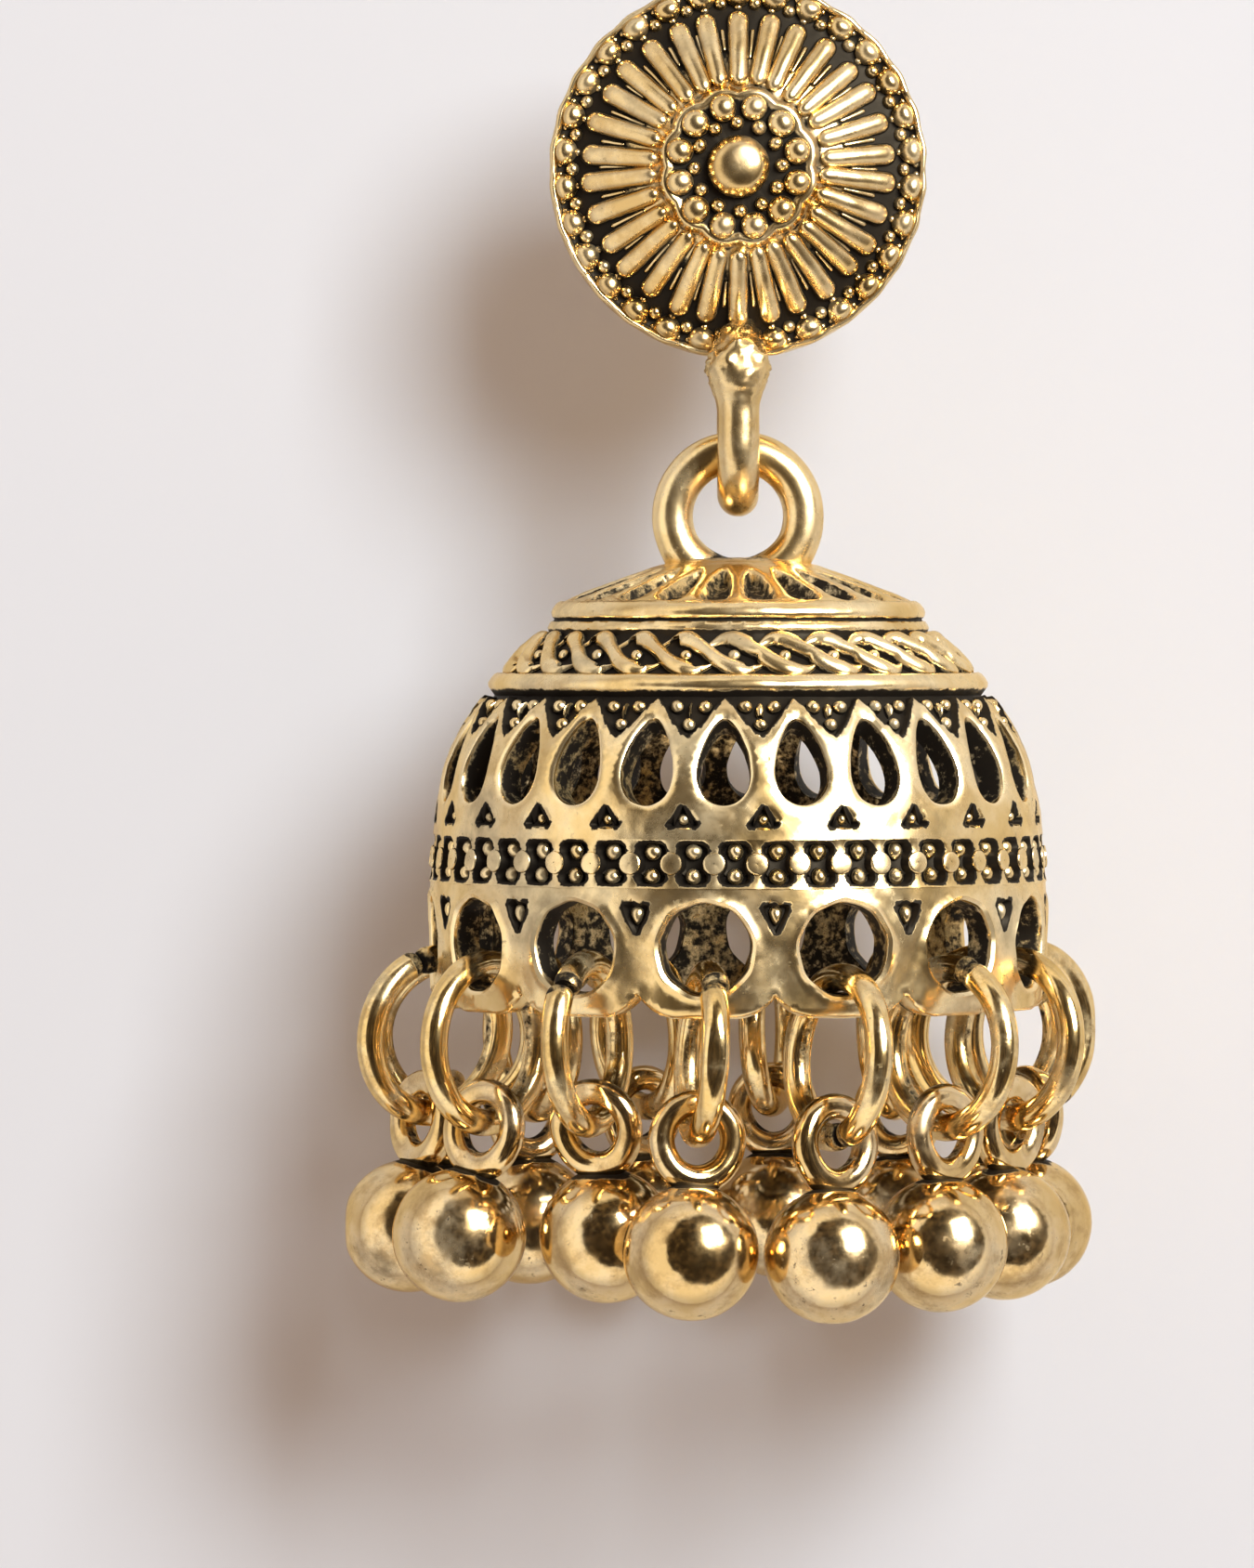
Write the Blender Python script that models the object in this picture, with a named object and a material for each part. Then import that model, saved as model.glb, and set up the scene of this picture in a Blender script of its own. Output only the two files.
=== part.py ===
"""Bell drop earring in cast antique-gold metal, as a Blender model.

A flower-patterned disc stud carries a loop, a pierced bell hangs on the loop by its bail, and fourteen
jump rings round the bell's mouth each hold a ball with its own cast loop.

Metres, +Z up. The origin is on the ear post where it leaves the flat back of the disc. The front of the
earring faces -Y. The bell, rings and balls are parented to an empty on the axis that the bell swings on.
"""

import math

import bmesh
import bpy
from mathutils import Matrix, Vector

# Ear post: a plain pin behind the disc.
POST_DIAMETER = 0.0009
POST_LENGTH = 0.0105
POST_SIDES = 8

# Disc of the stud, with its raised flower.
DISC_RADIUS = 0.00683
DISC_EDGE = 0.0013
DISC_CROWN = 0.0031
PETALS = 30
PETAL_WIDTH = 0.00058
PETAL_RAISE = 0.00038
RIM_PEARL_RADIUS = 0.00050
RIM_PEARL_RAISE = 0.00042
INNER_PEARLS = 12
INNER_PEARL_RADIUS = 0.00042
INNER_PEARL_RAISE = 0.00040
BOSS_RADIUS = 0.00112
BOSS_RAISE = 0.00090
RELIEF_GAP = 0.00012

# Loop cast under the disc, and the bail ring cast on the bell.
LOOP_WIRE = 0.00148
LOOP_HALF_WIDTH = 0.00190
LOOP_TOP_RISE = 0.00160
LOOP_DROP = 0.01171
LOOP_TOP = 0.0062
LOOP_FORWARD = 0.0012
BAIL_WIRE = 0.00147
BAIL_RADIUS = 0.00235
BAIL_SUNK = 0.00075
LINK_CLEARANCE = 0.00012
WIRE_SIDES = 6

# Bell: outer line, wall and bands.
BELL_HEIGHT = 0.01598
BELL_RADIUS = 0.01103
BELL_WALL = 0.00100
CAP_WALL = 0.00170
RIB_RAISE = 0.00020
ROPE_FLOOR = 0.00018
BEAD_FLOOR = 0.00034
POCKET_DEPTH = 0.00030
SCALLOP_DEPTH = 0.00062

# Relief and piercings of the bell.
CAP_POCKETS = 22
ROPE_STRANDS = 27
STRAND_RAISE = 0.00026
TEARDROPS = 24
TEARDROP_WIDTH = 0.00182
TEARDROP_HEIGHT = 0.00302
PEGS = 46
PEG_WIDTH = 0.00078
RIM_HOLE_DIAMETER = 0.00330
RIM_HOLE_BAR = 0.00078

# Jump rings and ball drops.
DROPS = 14
FIRST_DROP_ANGLE = -6.6
JUMP_RING_RADIUS = 0.00280
JUMP_RING_WIRE = 0.00100
JUMP_RING_SEGMENTS = 12
JUMP_RING_SIDES = 5
BALL_DIAMETER = 0.00480
BALL_LOOP_RADIUS = 0.00128
BALL_LOOP_WIRE = 0.00092
BALL_LOOP_SUNK = 0.00022

# How deep a raised or sunk shape reaches past the surface that it joins.
BITE = 0.00012

# Outer line of the bell from the edge of its flat cap to its mouth: name, share of the bell's height
# below the cap, share of the bell's radius.
BELL_LINE = (
    ("cap_edge", 0.000, 0.200),
    ("cap_foot", 0.094, 0.560),
    ("rope_top", 0.152, 0.612),
    ("frame_top", 0.288, 0.808),
    ("shoulder", 0.345, 0.873),
    ("side", 0.445, 0.945),
    ("bead_top", 0.611, 0.986),
    ("bead_foot", 0.712, 1.000),
    ("mouth", 1.000, 0.990),
)

# Sections of that line that the inside of the wall follows.
INNER_LINE = ("cap_foot", "frame_top", "side")

# Bands that stand proud of that line or are sunk in it: name, top and foot as shares of the bell's
# height, and how far they rise.
BELL_BANDS = (
    ("upper_rib", 0.097, 0.127, RIB_RAISE),
    ("rope", 0.154, 0.245, -ROPE_FLOOR),
    ("lower_rib", 0.250, 0.285, RIB_RAISE),
    ("bead", 0.613, 0.710, -BEAD_FLOOR),
)

# Front of the disc from its outer edge inwards: name, share of the disc's radius, share of the rise
# from the edge to the crown.
DISC_LINE = (
    ("wall_top", 0.985, 0.00),
    ("trough", 0.860, -0.04),
    ("petal_middle", 0.640, 0.45),
    ("plate_edge", 0.405, 0.80),
    ("plate", 0.390, 1.00),
)

# Where the two rings of pearls lie, as shares of the disc's radius.
RIM_PEARLS_AT = 0.925
INNER_PEARLS_AT = 0.318

# How each ball hangs, one row for each jump ring from the front one towards the viewer's right: where
# the ball lies from the bell's axis, as shares of the bell's radius to the right and to the front, the
# turn of the ring and of the ball's loop in degrees, how far the ring rides above its bar as a share of
# the ring's wire, and the share of the lean that the ring itself takes.
HANGING = (
    # right, front, ring_turn, ball_turn, ride, ring_share
    (-0.160, 1.018, 16.0, 4.0, 0.20, 1.0),
    (0.284, 0.991, 10.0, 5.0, 0.05, 1.0),
    (0.636, 0.718, -2.0, 0.0, 0.28, 1.0),
    (0.853, 0.326, -27.0, 6.0, 0.40, 1.0),
    (0.944, -0.115, 34.0, 0.0, 0.50, 1.0),
    (0.871, -0.554, -10.0, 4.0, 0.20, 1.0),
    (0.571, -0.880, 14.0, -6.0, 0.10, 1.0),
    (0.145, -1.016, -8.0, 0.0, 0.15, 1.0),
    (-0.309, -0.980, 12.0, 5.0, 0.05, 1.0),
    (-0.690, -0.744, -15.0, 0.0, 0.10, 1.0),
    (-0.980, -0.363, 20.0, -4.0, 0.20, 1.0),
    (-1.071, 0.074, 30.0, 0.0, 0.40, 1.0),
    (-0.899, 0.481, 18.0, 0.0, 0.35, 0.1),
    (-0.426, 0.662, 9.0, 0.0, 0.40, 1.0),
)

# Colours of the three finishes: base colour, roughness.
DISC_GOLD = ((0.62, 0.46, 0.24, 1.0), 0.34)
BELL_GOLD = ((0.66, 0.50, 0.27, 1.0), 0.32)
RING_GOLD = ((0.70, 0.52, 0.26, 1.0), 0.22)
BALL_GOLD = ((0.68, 0.52, 0.30, 1.0), 0.20)


def clear_scene():
    """Removes whatever the startup scene holds."""
    for obj in list(bpy.data.objects):
        bpy.data.objects.remove(obj, do_unlink=True)


def material(name, finish):
    """A metallic Principled material from a (colour, roughness) pair."""
    colour, roughness = finish
    made = bpy.data.materials.new(name)
    made.use_nodes = True
    shader = made.node_tree.nodes["Principled BSDF"]
    shader.inputs["Base Color"].default_value = colour
    shader.inputs["Metallic"].default_value = 1.0
    shader.inputs["Roughness"].default_value = roughness
    return made


def mesh_from(bm, name):
    """Turns a bmesh into a mesh whose faces point out."""
    bmesh.ops.recalc_face_normals(bm, faces=bm.faces)
    mesh = bpy.data.meshes.new(name)
    bm.to_mesh(mesh)
    bm.free()
    return mesh


def place(name, mesh, finish, parent=None, matrix=None, sharp_above=35.0):
    """Puts a finished mesh in the scene as a named object."""
    obj = bpy.data.objects.new(name, mesh)
    bpy.context.scene.collection.objects.link(obj)
    if not mesh.materials:
        mesh.materials.append(finish)
        mesh.shade_smooth()
        mesh.set_sharp_from_angle(angle=math.radians(sharp_above))
    if parent is not None:
        obj.parent = parent
        obj.matrix_parent_inverse = parent.matrix_world.inverted()
    if matrix is not None:
        obj.matrix_world = matrix
    return obj


def combined(base, operations):
    """Applies Boolean operations to a mesh.

    Args:
        base: the mesh to start from.
        operations: (operation, mesh) pairs, in order, such as ("DIFFERENCE", cutter).
    """
    helpers = [bpy.data.objects.new("base", base)]
    for operation, mesh in operations:
        helper = bpy.data.objects.new("tool", mesh)
        helper.hide_render = True
        helper.display_type = "WIRE"
        helpers.append(helper)
        modifier = helpers[0].modifiers.new(operation.title(), "BOOLEAN")
        modifier.operation = operation
        modifier.solver = "EXACT"
        modifier.object = helper
    for helper in helpers:
        bpy.context.scene.collection.objects.link(helper)
    bpy.context.view_layer.update()
    graph = bpy.context.evaluated_depsgraph_get()
    result = bpy.data.meshes.new_from_object(helpers[0].evaluated_get(graph))
    for helper in helpers:
        bpy.data.objects.remove(helper, do_unlink=True)
    return result


def turned(outline, sides, start=0.0):
    """Turns a closed (radius, height) outline round Z and returns the bmesh.

    Args:
        outline: (radius, height) points; a radius of zero lies on the axis.
        sides: number of steps round the axis.
        start: angle of the first step, in degrees from -Y towards +X.
    """
    bm = bmesh.new()
    turn = math.radians(start)
    points = [
        bm.verts.new((radius * math.sin(turn), -radius * math.cos(turn), height))
        for radius, height in outline
    ]
    on_axis = [radius < 1e-9 for radius, _ in outline]
    count = len(points)
    edges = [
        bm.edges.new((points[i], points[(i + 1) % count]))
        for i in range(count)
        if not (on_axis[i] and on_axis[(i + 1) % count])
    ]
    bmesh.ops.spin(
        bm,
        geom=points + edges,
        angle=2.0 * math.pi,
        steps=sides,
        axis=(0.0, 0.0, 1.0),
        cent=(0.0, 0.0, 0.0),
        use_merge=True,
    )
    bmesh.ops.remove_doubles(bm, verts=bm.verts, dist=1e-7)
    return bm


def wire_ring(radius, wire, segments, sides):
    """A round wire bent to a ring in the XZ plane, centred on the origin."""
    bm = bmesh.new()
    section = bmesh.ops.create_circle(bm, cap_ends=False, segments=sides, radius=wire / 2.0)
    bmesh.ops.translate(bm, verts=section["verts"], vec=(radius, 0.0, 0.0))
    bmesh.ops.spin(
        bm,
        geom=list(bm.verts) + list(bm.edges),
        angle=2.0 * math.pi,
        steps=segments,
        axis=(0.0, 1.0, 0.0),
        cent=(0.0, 0.0, 0.0),
        use_merge=True,
    )
    bmesh.ops.remove_doubles(bm, verts=bm.verts, dist=1e-7)
    return bm


def line_radius(share):
    """Radius of the bell's outer line at a share of its height."""
    for (_, above, upper), (_, below, lower) in zip(BELL_LINE, BELL_LINE[1:]):
        if share <= below:
            part = (share - above) / (below - above)
            return BELL_RADIUS * (upper + (lower - upper) * part)
    return BELL_RADIUS * BELL_LINE[-1][2]


def on_bell(angle, share):
    """Point and outward normal of the bell's outer line.

    Args:
        angle: degrees from the front towards the viewer's right.
        share: share of the bell's height below its cap.
    """
    reach = 0.02
    rise = BELL_HEIGHT * 2.0 * reach
    swell = line_radius(share + reach) - line_radius(share - reach)
    tilt = math.atan2(swell, rise)
    turn = math.radians(angle)
    outward = Vector((math.sin(turn), -math.cos(turn), 0.0))
    point = outward * line_radius(share) + Vector((0.0, 0.0, CAP_TOP - BELL_HEIGHT * share))
    normal = outward * math.cos(tilt) + Vector((0.0, 0.0, math.sin(tilt)))
    return point, normal


def disc_front(radius):
    """How far the disc's front stands before its back at a radius."""
    share = radius / DISC_RADIUS
    rise = DISC_CROWN - DISC_EDGE
    for (_, outer, low), (_, inner, high) in zip(DISC_LINE, DISC_LINE[1:]):
        if share >= inner:
            part = (outer - share) / (outer - inner)
            return DISC_EDGE + rise * (low + (high - low) * part)
    return DISC_CROWN


def on_disc(angle, radius):
    """Point of the disc's front and the way that it faces, at an angle from straight up."""
    turn = math.radians(angle)
    point = Vector((radius * math.sin(turn), -disc_front(radius), radius * math.cos(turn)))
    return point, Vector((0.0, -1.0, 0.0))


def add_pad(bm, surface, outline, bottom, top, crown=1.0):
    """Adds a closed block that stands on a surface.

    Args:
        bm: the bmesh that takes the block.
        surface: function of two coordinates that gives a point and a normal.
        outline: coordinates of the block's corners on the surface.
        bottom: how far along the normal the block starts; negative is inside.
        top: how far along the normal it ends.
        crown: size of its top as a share of its foot.
    """
    feet = [surface(*corner) for corner in outline]
    low = [point + normal * bottom for point, normal in feet]
    high = [point + normal * top for point, normal in feet]
    middle = sum(high, Vector()) / len(high)
    high = [middle + (point - middle) * crown for point in high]
    lower = [bm.verts.new(point) for point in low]
    upper = [bm.verts.new(point) for point in high]
    count = len(outline)
    bm.faces.new(lower)
    bm.faces.new(upper)
    for i in range(count):
        j = (i + 1) % count
        bm.faces.new((lower[i], lower[j], upper[j], upper[i]))


def oval(width, height, corners, taper=0.0):
    """Corners of an oval, narrower at its top by the taper, as (across, up) lengths."""
    points = []
    for i in range(corners):
        turn = 2.0 * math.pi * (i + 0.5) / corners
        up = math.cos(turn)
        across = math.sin(turn) * (1.0 - taper * up)
        points.append((across * width / 2.0, up * height / 2.0))
    return points


def around_bell(shape, angle, share):
    """Turns (across, up) lengths into (angle, share of height) round a middle on the bell."""
    radius = line_radius(share)
    return [
        (angle + math.degrees(across / radius), share - up / BELL_HEIGHT) for across, up in shape
    ]


BALL_LOOP_RISE = BALL_DIAMETER / 2.0 + BALL_LOOP_RADIUS + BALL_LOOP_WIRE / 2.0 - BALL_LOOP_SUNK
LOOP_CENTRE = Vector((0.0, -LOOP_FORWARD, -LOOP_DROP))
BAIL_CENTRE = LOOP_CENTRE + Vector(
    (0.0, 0.0, (LOOP_WIRE + BAIL_WIRE) / 2.0 + LINK_CLEARANCE - BAIL_RADIUS)
)
CAP_TOP = BAIL_CENTRE.z - BAIL_RADIUS + BAIL_SUNK
RIM_HOLE_SHARE = 1.0 - (RIM_HOLE_BAR + RIM_HOLE_DIAMETER / 2.0) / BELL_HEIGHT
TEARDROP_SHARE = 0.440


def stud_loop():
    """The loop under the disc: a long wire link in the YZ plane, its top buried in the disc."""
    bottom = LOOP_CENTRE.z + LOOP_HALF_WIDTH
    shoulder = -LOOP_TOP - LOOP_TOP_RISE
    path = []
    for i in range(9):
        turn = math.pi * i / 8.0
        path.append((math.cos(turn) * LOOP_HALF_WIDTH, bottom - math.sin(turn) * LOOP_HALF_WIDTH))
    for i in range(6):
        turn = math.pi * i / 5.0
        path.append((-math.cos(turn) * LOOP_HALF_WIDTH, shoulder + math.sin(turn) * LOOP_TOP_RISE))
    bm = bmesh.new()
    rings = []
    count = len(path)
    for i, (along, height) in enumerate(path):
        before = path[i - 1]
        after = path[(i + 1) % count]
        way = Vector((0.0, after[0] - before[0], after[1] - before[1])).normalized()
        across = Vector((1.0, 0.0, 0.0))
        out = way.cross(across)
        ring = []
        for side in range(WIRE_SIDES):
            turn = 2.0 * math.pi * side / WIRE_SIDES
            offset = (across * math.cos(turn) + out * math.sin(turn)) * LOOP_WIRE / 2.0
            ring.append(bm.verts.new(Vector((0.0, along - LOOP_FORWARD, height)) + offset))
        rings.append(ring)
    for i in range(count):
        here = rings[i]
        there = rings[(i + 1) % count]
        for side in range(WIRE_SIDES):
            other = (side + 1) % WIRE_SIDES
            bm.faces.new((here[side], here[other], there[other], there[side]))
    return mesh_from(bm, "stud_loop")


def disc_body():
    """The disc without its relief, turned round Z and laid so that its front faces -Y."""
    outline = [(0.0, 0.0), (DISC_RADIUS, 0.0), (DISC_RADIUS, DISC_EDGE * 0.92)]
    for _, share, _ in DISC_LINE:
        radius = share * DISC_RADIUS
        outline.append((radius, disc_front(radius)))
    outline.append((BOSS_RADIUS, DISC_CROWN))
    outline.append((BOSS_RADIUS, DISC_CROWN + BOSS_RAISE * 0.45))
    outline.append((BOSS_RADIUS * 0.62, DISC_CROWN + BOSS_RAISE * 0.85))
    outline.append((0.0, DISC_CROWN + BOSS_RAISE))
    bm = turned(outline, PETALS, 180.0 / PETALS)
    bmesh.ops.rotate(bm, verts=bm.verts, matrix=Matrix.Rotation(math.pi / 2.0, 3, "X"))
    return mesh_from(bm, "disc")


def disc_petals():
    """The petals of the flower, from the plate out to the rim pearls."""
    bm = bmesh.new()
    head = DISC_RADIUS * 0.445
    foot = DISC_RADIUS * RIM_PEARLS_AT - RIM_PEARL_RADIUS - RELIEF_GAP - PETAL_WIDTH / 2.0
    for i in range(PETALS):
        angle = 360.0 * i / PETALS
        across = math.degrees(PETAL_WIDTH / 2.0 / foot)
        outline = [
            (angle, head),
            (angle + across * 1.3, head + PETAL_WIDTH * 0.5),
            (angle + across, foot),
            (angle, foot + PETAL_WIDTH / 2.0),
            (angle - across, foot),
            (angle - across * 1.3, head + PETAL_WIDTH * 0.5),
        ]
        add_pad(bm, on_disc, outline, -BITE * 3.0, PETAL_RAISE, 0.90)
    return mesh_from(bm, "disc_petals")


def disc_pearls():
    """The half-round pearls of the flower: one at each petal's end, and a ring inside."""
    bm = bmesh.new()
    for i in range(PETALS):
        angle = 360.0 * i / PETALS
        rim = DISC_RADIUS * RIM_PEARLS_AT
        add_pearl(bm, angle, rim, RIM_PEARL_RADIUS, RIM_PEARL_RAISE, 5)
    for i in range(INNER_PEARLS):
        angle = 360.0 * (i + 0.5) / INNER_PEARLS
        inner = DISC_RADIUS * INNER_PEARLS_AT
        add_pearl(bm, angle, inner, INNER_PEARL_RADIUS, INNER_PEARL_RAISE, 6)
    return mesh_from(bm, "disc_pearls")


def add_pearl(bm, angle, radius, size, raised, sides):
    """Adds a pearl of the disc's relief: a round block that narrows to its top."""
    shape = oval(2.0 * size, 2.0 * size, sides)
    outline = [(angle + math.degrees(across / radius), radius + out) for across, out in shape]
    add_pad(bm, on_disc, outline, -BITE * 3.0, raised, 0.60)


def ear_post():
    """The pin behind the disc, with a rounded end, along +Y."""
    radius = POST_DIAMETER / 2.0
    outline = (
        (0.0, -DISC_EDGE * 0.5),
        (radius, -DISC_EDGE * 0.5),
        (radius, POST_LENGTH - radius * 0.6),
        (radius * 0.55, POST_LENGTH),
        (0.0, POST_LENGTH),
    )
    bm = turned(outline, POST_SIDES)
    bmesh.ops.rotate(bm, verts=bm.verts, matrix=Matrix.Rotation(-math.pi / 2.0, 3, "X"))
    return mesh_from(bm, "ear_post")


def make_stud(gold):
    """Disc, relief, post and loop as one casting."""
    mesh = combined(
        disc_body(),
        (
            ("UNION", disc_petals()),
            ("UNION", disc_pearls()),
            ("UNION", ear_post()),
            ("UNION", stud_loop()),
        ),
    )
    mesh.name = "ear_stud"
    return place("ear_stud", mesh, gold)


def bell_body():
    """The turned bell, solid, with its mouth drawn out to a lobe under each rim hole."""
    marks = [(share, 0.0) for _, share, _ in BELL_LINE]
    for _, top, foot, rise in BELL_BANDS:
        marks += [(top, rise), (foot, rise)]
    outline = [(0.0, 0.0)]
    outline += [(line_radius(share) + rise, share) for share, rise in sorted(marks)]
    outline.append((0.0, 1.0))
    sides = 3 * DROPS
    points = [(radius, CAP_TOP - BELL_HEIGHT * share) for radius, share in outline]
    bm = turned(points, sides, FIRST_DROP_ANGLE + 180.0 / sides)
    mouth = CAP_TOP - BELL_HEIGHT
    for vert in bm.verts:
        if vert.co.z > mouth + SCALLOP_DEPTH or vert.co.xy.length < BELL_RADIUS / 2.0:
            continue
        angle = math.degrees(math.atan2(vert.co.x, -vert.co.y)) - FIRST_DROP_ANGLE
        from_lobe = abs((angle * DROPS / 360.0 + 0.5) % 1.0 - 0.5)
        if from_lobe > 0.4:
            vert.co.z += SCALLOP_DEPTH
    return mesh_from(bm, "bell_body")


def bell_hollow():
    """The space inside the bell's wall, open downwards past the mouth."""
    outline = [(0.0, CAP_TOP - CAP_WALL), (line_radius(0.0), CAP_TOP - CAP_WALL)]
    for name, share, _ in BELL_LINE:
        if name not in INNER_LINE:
            continue
        point, normal = on_bell(0.0, share)
        outline.append((-point.y + normal.y * BELL_WALL, point.z - normal.z * BELL_WALL))
    below = CAP_TOP - BELL_HEIGHT - BELL_WALL
    outline += [(line_radius(1.0) - BELL_WALL, below), (0.0, below)]
    return mesh_from(turned(outline, TEARDROPS, teardrop_angle(0.5)), "bell_hollow")


def bail():
    """The ring cast on the bell's cap."""
    bm = wire_ring(BAIL_RADIUS, BAIL_WIRE, 14, WIRE_SIDES)
    bmesh.ops.translate(bm, verts=bm.verts, vec=(0.0, 0.0, BAIL_CENTRE.z))
    return mesh_from(bm, "bail")


def rope_and_pegs():
    """The slanting strands of the rope band and the pegs of the bead band."""
    bm = bmesh.new()
    _, top, foot, _ = BELL_BANDS[1]
    step = 360.0 / ROPE_STRANDS
    strand = ((-0.52, 0.08), (0.00, 0.08), (0.56, 0.92), (0.04, 0.92))
    for i in range(ROPE_STRANDS):
        corners = [(step * (i + across), top + (foot - top) * down) for across, down in strand]
        add_pad(bm, on_bell, corners, -ROPE_FLOOR - BITE, STRAND_RAISE, 0.86)
    _, top, foot, _ = BELL_BANDS[3]
    height = (foot - top) * BELL_HEIGHT
    neck = PEG_WIDTH * 0.15
    shape = (
        (neck, height * 0.46),
        (PEG_WIDTH / 2.0, 0.0),
        (neck, -height * 0.46),
        (-neck, -height * 0.46),
        (-PEG_WIDTH / 2.0, 0.0),
        (-neck, height * 0.46),
    )
    for i in range(PEGS):
        corners = around_bell(shape, 360.0 * i / PEGS, (top + foot) / 2.0)
        add_pad(bm, on_bell, corners, -BEAD_FLOOR - BITE, 0.0, 0.94)
    return mesh_from(bm, "rope_and_pegs")


def piercings():
    """The teardrop holes round the side and the round holes round the mouth."""
    bm = bmesh.new()
    depth = -BELL_WALL * 2.0
    for i in range(TEARDROPS):
        angle = teardrop_angle(i)
        egg = oval(TEARDROP_WIDTH, TEARDROP_HEIGHT, 8, 0.24)
        add_pad(bm, on_bell, around_bell(egg, angle, TEARDROP_SHARE), depth, BELL_WALL)
    for i in range(DROPS):
        hole = oval(RIM_HOLE_DIAMETER, RIM_HOLE_DIAMETER, 10)
        add_pad(bm, on_bell, around_bell(hole, drop_angle(i), RIM_HOLE_SHARE), depth, BELL_WALL)
    return mesh_from(bm, "piercings")


def pockets():
    """The sunk fields: flutes of the cap, and the fields above, below and between the holes."""
    bm = bmesh.new()
    for i in range(CAP_POCKETS):
        angle = 360.0 * (i + 0.5) / CAP_POCKETS
        corners = []
        for share, across in ((0.088, 5.2), (0.040, 4.4), (0.026, 0.0)):
            corners.append((share, across))
        outline = [(angle + across, share) for share, across in corners]
        outline += [(angle - across, share) for share, across in corners[-2::-1]]
        add_pad(bm, on_bell, outline, -POCKET_DEPTH, BITE * 2.0)
    for i in range(TEARDROPS):
        angle = teardrop_angle(i + 0.5)
        above = [(angle, 0.378)]
        above += [(angle + across, share) for share, across in ((0.325, 4.6), (0.293, 6.5))]
        above += [(angle - across, share) for share, across in ((0.293, 6.5), (0.325, 4.6))]
        add_pad(bm, on_bell, above, -POCKET_DEPTH, BITE * 2.0)
        below = [(angle, 0.527), (angle + 2.6, 0.568), (angle - 2.6, 0.568)]
        add_pad(bm, on_bell, below, -POCKET_DEPTH, BITE * 2.0)
    for i in range(DROPS):
        angle = drop_angle(i + 0.5)
        between = [(angle, 0.822), (angle - 2.5, 0.755), (angle + 2.5, 0.755)]
        add_pad(bm, on_bell, between, -POCKET_DEPTH, BITE * 2.0)
    return mesh_from(bm, "pockets")


def make_bell(gold, axis):
    """The pierced bell and its bail as one casting."""
    mesh = combined(
        bell_body(),
        (
            ("UNION", bail()),
            ("DIFFERENCE", bell_hollow()),
            ("DIFFERENCE", pockets()),
            ("UNION", rope_and_pegs()),
            ("DIFFERENCE", piercings()),
        ),
    )
    mesh.name = "bell"
    mesh.transform(Matrix.Translation((0.0, 0.0, -LOOP_CENTRE.z)))
    return place("bell", mesh, gold, axis, Matrix.Translation(LOOP_CENTRE))


def drop_angle(index):
    """Angle of a rim hole, in degrees from the front towards the viewer's right."""
    return FIRST_DROP_ANGLE + 360.0 * index / DROPS


def teardrop_angle(index):
    """Angle of a teardrop hole."""
    return -3.4 + 360.0 * index / TEARDROPS


def ball_drop_mesh():
    """A ball with its cast loop, hanging below the middle of the wire that holds it."""
    inside_loop = BALL_LOOP_RADIUS - BALL_LOOP_WIRE / 2.0
    seat = JUMP_RING_WIRE / 2.0 + LINK_CLEARANCE
    loop_drop = inside_loop - seat
    bm = bmesh.new()
    bmesh.ops.create_uvsphere(bm, u_segments=10, v_segments=6, radius=BALL_DIAMETER / 2.0)
    bmesh.ops.translate(bm, verts=bm.verts, vec=(0.0, 0.0, -loop_drop - BALL_LOOP_RISE))
    ball = mesh_from(bm, "ball")
    bm = wire_ring(BALL_LOOP_RADIUS, BALL_LOOP_WIRE, 10, JUMP_RING_SIDES)
    bmesh.ops.rotate(bm, verts=bm.verts, matrix=Matrix.Rotation(math.radians(18.0), 3, "Y"))
    bmesh.ops.rotate(bm, verts=bm.verts, matrix=Matrix.Rotation(math.pi / 2.0, 3, "Z"))
    bmesh.ops.translate(bm, verts=bm.verts, vec=(0.0, 0.0, -loop_drop))
    loop = mesh_from(bm, "ball_loop")
    mesh = combined(ball, (("UNION", loop),))
    mesh.name = "ball_drop"
    return mesh, loop_drop + BALL_LOOP_RISE


def hung(place_at, down, across):
    """Matrix of a piece that hangs from a point: its own -Z along down, its own X near across."""
    up = -down.normalized()
    side = (across - up * across.dot(up)).normalized()
    turn = Matrix((side, up.cross(side), up)).transposed().to_4x4()
    return Matrix.Translation(place_at) @ turn


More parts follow.
